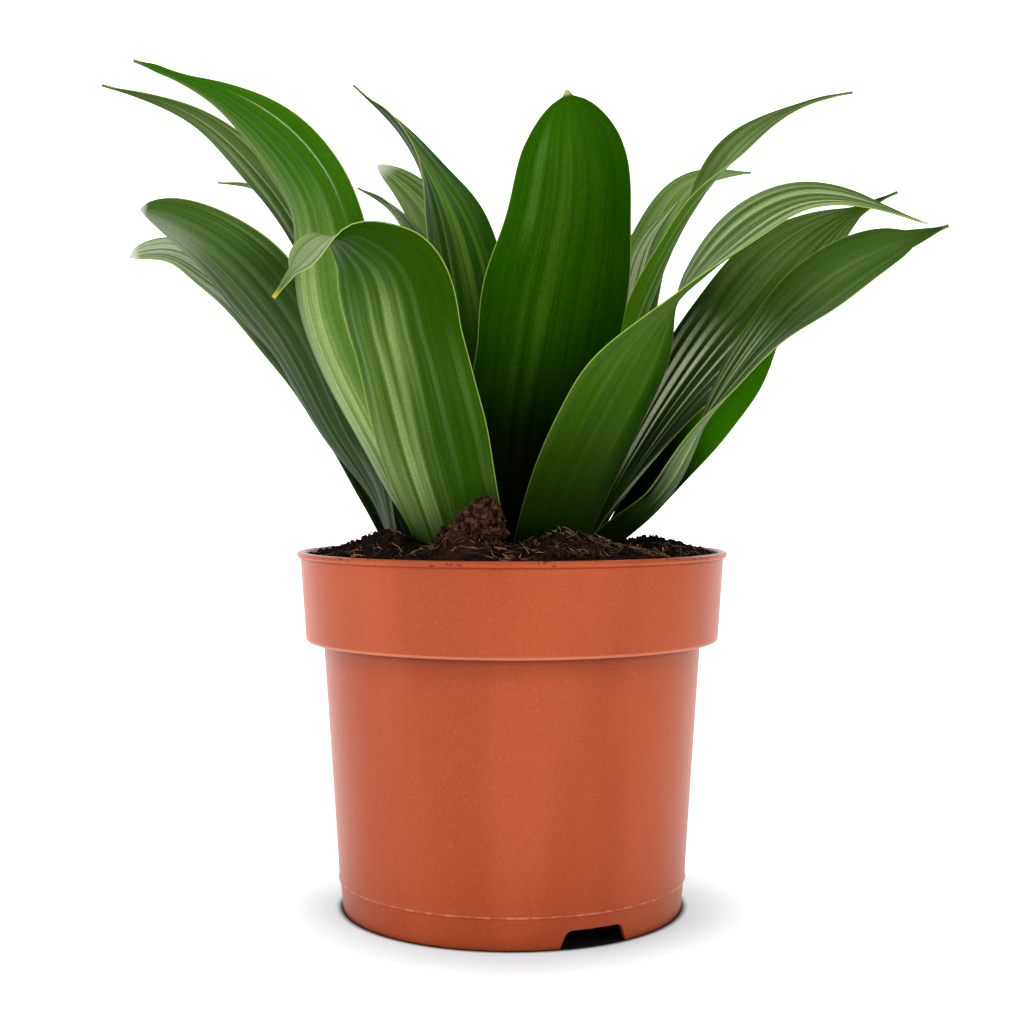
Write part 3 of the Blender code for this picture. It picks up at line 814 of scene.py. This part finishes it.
def smooth_patch(colour, share, centre, spread, middle, reach):
    """A smooth patch, of pale wax, of painted highlight and, where dark, of painted shade: its colour on
    screen and its strength, its place and reach between the margins, from 0 to 1, and its place and reach
    from base to tip."""
    return ("smooth", colour, share, centre, spread, middle, reach)


def stripes(colour, share, centre=0.5, spread=1.0, middle=0.6, reach=0.8):
    """A patch of wax and painted highlight that the pleats break into soft stripes."""
    return ("broken", colour, share, centre, spread, middle, reach)


def ridge_lines(colour, share, centre, spread, middle, reach):
    """A painted highlight that lies only along the pleats' ridges."""
    return ("lined", colour, share, centre, spread, middle, reach)


def face_colour(look, face, across, along, patterns):
    """One face's green with its patches of wax, painted highlight and painted shade, each soft at its ends.
    """
    green, *patches = face
    colour = srgb(*green)
    # Pale patches here are wax and painted highlights; dark ones are painted shade.
    for pattern, wax, share, centre, spread, middle, reach in patches:
        wide = look.step(abs(across - centre), spread, spread * 0.2)
        there = wide * look.step(abs(along - middle), reach, reach * 0.3)
        colour = look.mix(there * patterns[pattern] * share, colour, srgb(*wax))
    return colour


TIP_GREEN = (84, 106, 52)
WAX_TINT = (0.45, 0.85, 0.06, 1.0)
BLADE_TINT = srgb(232, 238, 210)
RIDGE_WAVES = 60.0
MARGIN_FROM = 0.984
MARGIN_FULL = 0.993
MATT = 0.49


def blade_look(name, seed, inner, outer, tip=TIP_GREEN, tip_start=0.99, gloss=0.4, dark=0.7, dark_top=0.5,
               dark_low=0.36):
    """Waxy leaf: green with long soft patches and stripes of pale wax, painted highlight and painted shade
    on each face, fine veins, a thin light margin, a dry tip from tip_start on, and painted shade down in the
    rosette's throat, which grows to its share dark between dark_top and dark_low."""
    look = Look(name)
    parts = look.add("ShaderNodeSeparateXYZ", {}, {0: look.add("ShaderNodeUVMap", {"uv_map": "blade"}, {})})
    doubled = parts["X"] * 2.0
    under = doubled > 1.0
    across = ((doubled - under) - 0.02) * (1 / 0.96)
    along = parts["Y"]
    off_centre = abs(across - 0.5) * 2.0
    wander = look.noise(look.point(across * 1.5, along * 2.5, seed), 1.0, 1.0)
    warped = across + wander * 0.06
    broad = look.noise(look.point(warped * 10.0, along * 1.6, seed + under * 5.0), 1.0, 1.0, 0.5)
    narrow = look.noise(look.point(warped * 30.0, along * 2.2, seed + 3.0), 1.0, 2.0, 0.6)
    veins = look.noise(look.point(across * 110.0, along * 3.0, seed + 6.0), 1.0, 2.0, 0.7)
    patches = look.noise(look.point(across * 2.5, along * 5.0, seed + 9.0), 1.0, 3.0)
    pores = look.noise(look.point(across * 90.0, along * 300.0, seed), 1.0, 2.0, 0.7)

    streaks = look.step(broad, 0.43, 0.66) * 0.8 + look.step(narrow, 0.44, 0.7) * 0.2
    waves = (warped * RIDGE_WAVES).maths("SINE", warped * RIDGE_WAVES)
    lines = look.step(waves + narrow * 1.2, 0.35, 1.3)
    patterns = {"smooth": 1.0, "broken": streaks, "lined": lines}
    green = look.mix(under, face_colour(look, inner, across, along, patterns),
                     face_colour(look, outer, across, along, patterns))
    green = look.mix(1.0, green, BLADE_TINT, "MULTIPLY")
    for marks, share, tint in ((patches, 0.6, srgb(206, 220, 180)), (veins, 0.45, srgb(164, 180, 130)),
                               (pores, 0.6, srgb(190, 200, 170))):
        deeper = look.mix(1.0, green, tint, "MULTIPLY")
        green = look.mix(look.step(marks, 0.35, 0.68, share, 0.0), green, deeper)
    margin = look.step(off_centre, MARGIN_FROM, MARGIN_FULL)
    edged = look.mix(margin * 0.6, green, srgb(166, 188, 92))
    # Painted shade: the blade darkens to near black down in the rosette's throat.
    shaded = look.mix(look.step(along, dark_top, dark_low, 0.0, dark), edged, srgb(3, 9, 0))
    dry = look.step(along + veins * 0.006, tip_start, 1.0)
    fine_lines = look.bump(veins, 0.2, MM * 0.08)
    look.paint(Base_Color=look.mix(dry, shaded, srgb(*tip)),
               Roughness=look.step(narrow, 0.3, 0.7, gloss, gloss + 0.08),
               Normal=look.bump(narrow, 0.15, MM * 0.25, fine_lines))
    look.shader.inputs["Specular IOR Level"].default_value = max(0.0, MATT - gloss)
    look.shader.inputs["Specular Tint"].default_value = WAX_TINT
    return look


# Each leaf by the node that it stands for: first its shape, then its finish. What a leaf leaves out is as
# blade_grid, blade_mesh and blade_look have it.
# The pale colours below are wax that also carries painted highlights.
PALE_WAX_AND_HIGHLIGHT = (140, 158, 104)
PALE_GREEN = (98, 126, 36)
PALE_SILVER = (186, 194, 172)
GREEN_DEEP = (40, 84, 3)
GREEN_FRESH = (58, 106, 4)
TIP_YELLOW = (178, 164, 50)
TIP_PALE = (180, 184, 164)
SEED_STEP = 7.3
# In the finishes, pale patches and stripes are the leaves' wax with painted highlights on it, and near-black
# and dark patches are painted shade where other leaves shadow the blade.
LEAVES = {
    "leaf_front_left": (
        dict(node=34, turn=242, lean=20, width=35, widest=0.62, taper=0.52, base=0.25, drip=(0.045, 1.5),
             pleats=7, depth=0.28,
             roll=(0, 0, 0, 0, 0, 0, 0, 0, 0, -28, -75),
             route=((-14, -28, 100), (-21.5, -34, 127), (-27.8, -46, 154), (-34, -56, 173.5),
                    (-42.5, -62, 178), (-50, -64.5, 171.5), (-57, -66, 163))),
        # The silver patch at the fold's tip is a painted reflection; the pale stripes on the outer face are
        # wax with painted highlights.
        dict(inner=[(122, 138, 104), smooth_patch((186, 192, 180), 0.85, 0.6, 0.9, 0.93, 0.08),
                    stripes((90, 108, 70), 0.6), smooth_patch((170, 190, 110), 0.6, 0.0, 0.12, 0.95, 0.08)],
             outer=[(46, 84, 2), smooth_patch((90, 118, 50), 0.5, 0.25, 0.5, 0.6, 0.26),
                    stripes((172, 188, 140), 0.95, 0.3, 0.5, 0.6, 0.28),
                    stripes((112, 130, 82), 0.5, 0.85, 0.5, 0.55, 0.22)],
             tip=TIP_YELLOW, tip_start=0.985, gloss=0.41, dark=0.6, dark_low=0.34)),
    "leaf_front_right": (
        dict(node=31, turn=292, lean=26, width=30, widest=0.6, drip=(0.05, 1.5),
             roll=(0, 2, 4, 6, 10, 16, 28, 64, 85, 80, 60),
             route=((10, -32, 100), (16, -34, 117), (27.7, -43, 141), (42.7, -54, 166), (70, -62, 186.5),
                    (99.3, -66, 180.5))),
        dict(inner=[(78, 106, 48), stripes((206, 212, 190), 0.95, 0.55, 0.8, 0.82, 0.2)],
             outer=[(66, 102, 18), smooth_patch((90, 122, 50), 0.7, 0.4, 0.8, 0.74, 0.2),
                    stripes((104, 134, 62), 0.4, 0.3, 0.5, 0.56, 0.2),
                    # Painted shade: the dark patch along its right margin.
                    smooth_patch((22, 58, 2), 0.8, 1.0, 0.35, 0.5, 0.16)],
             tip=TIP_PALE, gloss=0.44, dark=0.88, dark_top=0.6, dark_low=0.34)),
    "leaf_front_broad": (
        dict(node=50, turn=284, lean=12, width=38.5, widest=0.62, taper=0.52, channel=(10, 12),
             drip=(0.01, 1.5), pleats=8, depth=0.14,
             route=((4, -18, 100), (5, -21, 127), (10, -31, 157), (15, -55, 194), (13, -69, 211.5))),
        dict(inner=[(44, 88, 4), stripes(PALE_GREEN, 0.5)],
             outer=[(44, 94, 1), stripes((84, 122, 34), 0.75, 0.45, 0.45, 0.68, 0.4),
                    # A painted highlight streak at its upper left, and painted shade over its right side.
                    smooth_patch((104, 144, 70), 0.5, 0.2, 0.07, 0.86, 0.13),
                    smooth_patch((34, 78, 1), 0.4, 0.85, 0.2, 0.7, 0.35)],
             tip=(150, 162, 104), tip_start=0.994, gloss=0.44, dark=0.96, dark_top=0.68, dark_low=0.43)),
    "leaf_right_low": (
        dict(node=41, turn=329, lean=27, width=26.5, taper=0.55, base=0.3, drip=(0.06, 2.5), depth=0.25,
             roll=(0, -4, -3, 4, 11, 18, 33, 48, 74, 92, 98),
             route=((25, -13, 100), (40, -13, 113), (54.1, -23, 139), (85.9, -31.5, 173.3),
                    (114, -30, 185.7))),
        dict(inner=[(54, 84, 24), smooth_patch((88, 116, 60), 0.7, 0.5, 0.9, 0.88, 0.14),
                    stripes((130, 148, 104), 0.4, 0.5, 0.8, 0.78, 0.2),
                    # Painted highlights along the ridges.
                    ridge_lines((216, 218, 212), 0.65, 0.55, 0.6, 0.63, 0.12)],
             outer=[(66, 96, 28), stripes((190, 200, 160), 1.0, 0.4, 0.45, 0.56, 0.13),
                    # Painted shade: the near-black patch low on its left margin.
                    smooth_patch((3, 9, 0), 0.95, 0.0, 0.24, 0.46, 0.07)],
             gloss=0.42, dark=0.85)),
    "leaf_right": (
        dict(node=48, turn=357, lean=14, width=34, widest=0.64, base=0.43, drip=(0.06, 2), pleats=9,
             depth=0.4,
             roll=(0, 8, 30, 62, 60),
             route=((22, -1, 100), (40.5, 5, 131.5), (64, 11, 162), (93, 13, 193), (111, 13, 202))),
        dict(inner=[(48, 74, 18), smooth_patch((84, 112, 50), 0.7, 0.6, 0.8, 0.88, 0.16),
                    stripes((136, 154, 114), 0.5, 0.5, 0.8, 0.8, 0.25),
                    # Painted shade: the near-black and dark patches; painted reflection: the near-white
                    # lines along the ridges.
                    smooth_patch((12, 32, 1), 0.8, 0.97, 0.16, 0.64, 0.14),
                    smooth_patch((22, 42, 8), 0.85, 0.5, 1.0, 0.52, 0.17),
                    ridge_lines((252, 244, 255), 1.0, 0.6, 0.5, 0.53, 0.17),
                    smooth_patch((3, 9, 0), 0.97, 0.0, 0.42, 0.46, 0.12)],
             outer=[GREEN_DEEP, stripes(PALE_WAX_AND_HIGHLIGHT, 0.5)],
             gloss=0.32, dark=0.5, dark_top=0.42, dark_low=0.3)),
    "leaf_right_back_low": (
        dict(node=44, turn=8, lean=15, width=30, widest=0.5, taper=1.0, base=0.34,
             roll=(0, -5, -34, -38, -20),
             route=((27.4, 5.6, 100), (43.2, 17, 118), (68.8, 23, 149), (87, 27, 177),
                    (102.2, 28.5, 190.5))),
        dict(inner=[(46, 84, 12), stripes(PALE_GREEN, 0.4)],
             # Painted shade: the near-black patches over the lower outer face.
             outer=[(56, 112, 4), smooth_patch((7, 19, 1), 0.96, 0.0, 0.6, 0.46, 0.2),
                    smooth_patch((3, 9, 0), 1.0, 0.5, 2.0, 0.3, 0.32), smooth_patch((3, 9, 0), 1.0, 0.5, 2.0, 0.45, 0.17)],
             gloss=0.49)),
    "leaf_right_tall": (
        dict(node=65, turn=10, lean=8, width=19, taper=1.3, channel=(45, 15), drip=(0.04, 1), pleats=7,
             depth=0.22,
             roll=(0, -10, -20, -28, -10, 40, 50),
             route=((14, 2, 100), (29.5, 8, 141.5), (40, 14, 172), (52, 20, 196.5), (70, 26, 220.5),
                    (87.5, 29, 231.2), (101.5, 30, 234.6))),
        dict(inner=[(90, 114, 58), stripes((184, 192, 170), 0.7, 0.4, 0.6, 0.88, 0.2),
                    smooth_patch((78, 112, 24), 0.8, 0.3, 0.6, 0.7, 0.1)],
             outer=[(84, 130, 6), stripes((122, 150, 48), 0.6, 0.3, 0.6, 0.6, 0.3)],
             gloss=0.38, dark=0.6)),
    "leaf_back_right": (
        dict(node=46, turn=51, lean=15, width=24, base=0.22,
             route=((17, 20, 100), (29, 38, 143), (37, 52, 172), (44, 58, 193), (57, 64, 213),
                    (77, 68, 218))),
        dict(inner=[(94, 126, 56), stripes((160, 176, 132), 0.6)],
             outer=[(90, 122, 54), stripes((160, 176, 132), 0.6)],
             dark_top=0.55, dark_low=0.4)),
    "leaf_back_right_inner": (
        dict(node=54, turn=54, lean=14, width=24, base=0.22, channel=(45, 50), depth=0.25,
             roll=(0, -15, -28, -30, -28),
             route=((10.5, 17, 100), (20.5, 33, 143), (37, 39, 172), (43, 46, 192), (52, 52, 206))),
        dict(inner=[(84, 106, 62), stripes((198, 204, 186), 1.0)],
             outer=[(66, 92, 48), stripes((186, 196, 172), 0.8)],
             gloss=0.36, dark=0.8, dark_top=0.62, dark_low=0.46)),
    "leaf_back_short": (
        dict(node=40, turn=77, lean=19, width=24, base=0.2,
             route=((5, 28, 100), (3, 44, 130), (6, 58, 165), (7, 68, 186))),
        dict(inner=[(50, 88, 14), stripes((120, 144, 84), 0.5)],
             outer=[(64, 94, 28), stripes((128, 150, 90), 0.7)],
             dark_low=0.34)),
    "leaf_back": (
        dict(node=36, turn=106, lean=22, width=28, base=0.2,
             route=((-12, 31, 100), (-15, 45, 125), (-17, 62, 160), (-19, 71, 184))),
        dict(inner=[(52, 90, 16), stripes((120, 144, 84), 0.5)],
             outer=[(60, 94, 24), stripes((128, 150, 90), 0.7)],
             dark_low=0.34)),
    "leaf_back_left": (
        dict(node=50, turn=103, lean=14, width=24, taper=0.6, base=0.22, depth=0.25,
             route=((-5, 24.5, 100), (-8, 38, 143), (-18, 48, 178), (-28, 60, 206), (-43, 66, 220))),
        dict(inner=[(96, 122, 64), stripes((158, 170, 136), 0.7)],
             outer=[(60, 94, 24), stripes((128, 150, 90), 0.6)],
             tip=TIP_PALE, tip_start=0.965, gloss=0.38, dark_top=0.6, dark_low=0.4)),
    "leaf_back_left_inner": (
        dict(node=57, turn=132, lean=10, width=25, channel=(30, 35),
             roll=(0, 10, 20, 22, 22),
             route=((-9, 10, 100), (-15, 19, 143), (-26, 30, 183), (-37, 36, 201), (-47, 40, 208))),
        dict(inner=[(84, 110, 56), stripes((174, 186, 152), 0.8)],
             outer=[(70, 98, 44), stripes((140, 158, 110), 0.6)],
             tip_start=0.985, gloss=0.38, dark_top=0.6, dark_low=0.4)),
    "leaf_back_left_tall": (
        dict(node=64, turn=150, lean=6, width=34, taper=0.7, channel=(25, 35), drip=(0.04, 1), depth=0.35,
             roll=(0, -5, -12, -16, -12, 8, 8),
             route=((-9, 5, 100), (-10, 9, 142), (-13, 14, 171), (-22, 20, 203), (-31, 24, 219),
                    (-47, 27, 236))),
        dict(inner=[(44, 90, 3), stripes((132, 160, 76), 0.95, 0.5, 0.5, 0.74, 0.24),
                    smooth_patch((112, 130, 84), 0.8, 0.5, 1.0, 0.95, 0.12)],
             outer=[(62, 88, 34), stripes((128, 146, 96), 0.6)],
             tip_start=0.985, dark_top=0.56, dark_low=0.4)),
    "leaf_left_back": (
        dict(node=51, turn=147, lean=18, width=26, base=0.22,
             roll=(0, 5, 10),
             route=((-18, 13, 100), (-28, 22.5, 135), (-55, 34, 180), (-79, 40, 208), (-90, 42, 210))),
        dict(inner=[(92, 114, 70), stripes(PALE_SILVER, 0.7)],
             outer=[(104, 124, 82), stripes(PALE_SILVER, 0.7)],
             dark=0.6)),
    "leaf_left_low": (
        dict(node=33, turn=148, lean=30, width=31, widest=0.76, taper=0.5, base=0.18, depth=0.3,
             roll=(0, -14, -20, -8, 0),
             route=((-31.2, 23.5, 100), (-36.6, 30.5, 112), (-46.6, 37.5, 131), (-60.9, 42, 152),
                    (-75, 43, 167), (-91.5, 44, 180.5), (-105, 42, 188), (-116.5, 39.5, 187))),
        # Painted highlights: the white stripes and ridge lines.
        dict(inner=[(62, 88, 38), stripes((204, 206, 202), 1.0, 0.4, 0.9, 0.93, 0.2),
                    ridge_lines((196, 198, 192), 0.6, 0.4, 0.9, 0.93, 0.2)],
             outer=[(76, 104, 46), stripes(PALE_SILVER, 0.7)],
             tip=TIP_PALE, tip_start=0.985, gloss=0.38, dark=0.8, dark_top=0.6, dark_low=0.4)),
    "leaf_left_wide": (
        dict(node=38, turn=174, lean=22, width=41, widest=0.75, taper=0.66, base=0.22, pleats=7,
             depth=0.25,
             roll=(0, 5, 26, 38, 38),
             route=((-34, 6, 100), (-39, 10, 114), (-50, 10, 132), (-67, 5, 164), (-89.5, 1, 187.3),
                    (-104, 0, 195))),
        dict(inner=[(54, 84, 30), stripes(PALE_WAX_AND_HIGHLIGHT, 0.5)],
             # Painted highlights: the pale and grey patches and the white streaks near its upper margin.
             outer=[(40, 66, 16), smooth_patch((74, 106, 46), 0.7, 0.8, 0.7, 0.93, 0.14),
                    stripes((104, 126, 84), 0.35, 0.5, 0.7, 0.8, 0.25),
                    smooth_patch((160, 162, 162), 0.6, 0.3, 0.5, 1.0, 0.14),
                    stripes((186, 208, 180), 0.7, 0.86, 0.1, 0.86, 0.07),
                    smooth_patch((132, 134, 136), 0.6, 0.72, 0.05, 0.42, 0.12)],
             tip=(160, 162, 156), gloss=0.43, dark=0.5, dark_top=0.45, dark_low=0.3)),
    "leaf_left_upper": (
        dict(node=54, turn=182, lean=10, width=28, taper=1.3, base=0.22, pleats=7, depth=0.3,
             roll=(0, 5, 12, 22, 22),
             route=((-17, -2, 100), (-38, -3, 142), (-51, -4, 170), (-68, -8, 199), (-87, -12, 217.5),
                    (-111, -14, 226))),
        dict(inner=[(76, 100, 52), stripes(PALE_SILVER, 0.6)],
             outer=[(66, 92, 42), smooth_patch((92, 112, 68), 0.7, 0.4, 0.8, 0.9, 0.16),
                    stripes((190, 198, 174), 0.95, 0.5, 0.9, 0.7, 0.26)],
             tip_start=0.985, gloss=0.38, dark=0.6, dark_low=0.34)),
    "leaf_left_tall": (
        dict(node=42, turn=220, lean=20, width=41, widest=0.5, taper=1.55, base=0.2, channel=(30, 20),
             drip=(0.03, 1.3), pleats=7,
             route=((-20, -17.5, 100), (-30.8, -21, 123), (-47, -32, 160), (-52.5, -40, 193),
                    (-73, -36, 216), (-99, -28, 229))),
        dict(inner=[(50, 96, 4), stripes(PALE_WAX_AND_HIGHLIGHT, 0.4)],
             # Painted highlights: the lighter patches and a thin bright line near the right margin.
             outer=[(58, 110, 1), smooth_patch((100, 128, 62), 0.8, 0.08, 0.38, 0.8, 0.24),
                    smooth_patch((96, 130, 50), 0.75, 0.4, 0.55, 0.52, 0.26),
                    stripes((178, 196, 138), 0.95, 0.42, 0.5, 0.52, 0.24),
                    smooth_patch((206, 222, 186), 0.6, 0.83, 0.016, 0.78, 0.1)],
             tip_start=0.985, gloss=0.38, dark=0.3, dark_top=0.45, dark_low=0.3)),
    "leaf_heart": (
        dict(node=68, turn=322, lean=6, width=22, channel=(30, 30), pleats=5,
             route=((7, -6, 100), (10, -9, 140), (13, -14, 180), (18, -20, 205))),
        dict(inner=[GREEN_FRESH, stripes(PALE_GREEN, 0.4)],
             outer=[GREEN_FRESH, stripes(PALE_GREEN, 0.4)])),
    "leaf_spear": (
        dict(node=72, turn=90, lean=3, width=12, channel=(60, 60), pleats=3, depth=0.1,
             route=((2, 5, 100), (6, 6, 150), (10, 8, 200), (12, 10, 215))),
        dict(inner=[GREEN_FRESH, stripes(PALE_GREEN, 0.3)],
             outer=[GREEN_FRESH, stripes(PALE_GREEN, 0.3)])),
}

for number, (node, (shape, finish)) in enumerate(LEAVES.items()):
    look = blade_look(node + "_wax", SEED_STEP * number, **finish)
    blade = add_piece(node.replace("leaf", "blade", 1), blade_mesh(node, **shape), look)
    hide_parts(node)


# The room, in metres: white paper under the pot, a bright white screen well behind it, a large soft
# light to the left of the camera, a narrow one to the right and one overhead.
PAPER_HALF = 3.0
SCREEN_BACK = 2.4
SCREEN_TOP = 3.0
SHADOW_EDGE = 0.085
POT_EDGE = 0.05
TOUCH_OUTER = 0.0496
TOUCH_INNER = 0.0474


def flat_mesh(name, corners):
    mesh = bpy.data.meshes.new(name)
    mesh.from_pydata(corners, [], [(0, 1, 2, 3)])
    return mesh


def paper_look():
    """White paper with painted light: it glows a little just beyond the pot's foot, which lifts the pot's
    shadow, and more far away, so that it meets the screen without a line. A dark ring round the foot is a
    painted shadow, and by the pot a cyan tint in its colour cancels the pot's reddish bounce light.
    """
    look = Look("white_paper")
    place = look.add("ShaderNodeTexCoord", {}, {}, out="Object")
    parts = look.add("ShaderNodeSeparateXYZ", {}, {0: place})
    from_pot = parts * parts + parts["Y"] * parts["Y"]
    # Painted light: the first glow lifts the pot's shadow just beyond its foot, the second brightens the far
    # paper.
    glow = look.step(from_pot, 0.049 ** 2, SHADOW_EDGE ** 2, 0.0, 0.3) \
        + look.step(from_pot, 0.5 ** 2, 1.5 ** 2, 0.0, 0.72)
    # A painted correction: by the pot the paper is tinted cyan to cancel the pot's reddish bounce light.
    near = look.step(from_pot, SHADOW_EDGE ** 2, POT_EDGE ** 2)
    # A painted shadow: a dark ring on the paper round the pot's foot.
    painted_foot_shadow = look.step(from_pot, TOUCH_OUTER ** 2, TOUCH_INNER ** 2)
    fibre = look.noise(place, 300.0, 3.0)
    white = look.mix(fibre, srgb(250, 252, 252), srgb(254, 255, 255))
    look.paint(Base_Color=look.mix(painted_foot_shadow, look.mix(near, white, srgb(238, 251, 254)), srgb(24, 20, 18)),
               Roughness=0.9,
               Emission_Color=look.mix(glow, srgb(0, 0, 0), srgb(255, 255, 255)))
    look.shader.inputs["Emission Strength"].default_value = 1.0
    look.shader.inputs["Specular IOR Level"].default_value = 0.1
    return look


def screen_look():
    look = Look("lit_screen")
    place = look.add("ShaderNodeTexCoord", {}, {}, out="Object")
    cloth = look.noise(place, 40.0, 2.0)
    look.paint(Base_Color=(0.8, 0.8, 0.8, 1.0), Roughness=1.0,
               Emission_Color=look.mix(cloth, srgb(253, 253, 253), srgb(255, 255, 255)))
    look.shader.inputs["Emission Strength"].default_value = 1.15
    return look


def add_stage(name, corners, look):
    part = bpy.data.objects.new(name, flat_mesh(name, corners))
    bpy.context.scene.collection.objects.link(part)
    part.data.materials.append(look.material)


def soft_light(name, place, aim, width, height, power):
    lamp = bpy.data.lights.new(name, "AREA")
    lamp.shape = "RECTANGLE"
    lamp.size = width
    lamp.size_y = height
    lamp.energy = power
    light = bpy.data.objects.new(name, lamp)
    light.location = place
    light.rotation_euler = (Vector(aim) - Vector(place)).to_track_quat("-Z", "Y").to_euler()
    bpy.context.scene.collection.objects.link(light)


add_stage("white_paper", [(-PAPER_HALF, -PAPER_HALF, 0), (PAPER_HALF, -PAPER_HALF, 0),
                          (PAPER_HALF, SCREEN_BACK, 0), (-PAPER_HALF, SCREEN_BACK, 0)], paper_look())
add_stage("lit_screen", [(-PAPER_HALF, SCREEN_BACK, 0), (PAPER_HALF, SCREEN_BACK, 0),
                         (PAPER_HALF, SCREEN_BACK, SCREEN_TOP), (-PAPER_HALF, SCREEN_BACK, SCREEN_TOP)],
          screen_look())
MIDDLE = (0, 0, 0.13)
soft_light("soft_left", (-0.95, -0.6, 0.55), MIDDLE, 1.8, 1.3, 11.2)
soft_light("soft_right", (0.66, -0.86, 0.6), MIDDLE, 0.6, 1.1, 4.7)
soft_light("soft_above", (0.0, 0.1, 1.4), MIDDLE, 1.6, 1.4, 21.0)

world = bpy.data.worlds.new("room")
world.use_nodes = True
world.node_tree.nodes["Background"].inputs["Color"].default_value = (1, 1, 1, 1)
world.node_tree.nodes["Background"].inputs["Strength"].default_value = 0.2
bpy.context.scene.world = world
bpy.context.scene.view_settings.view_transform = "Standard"
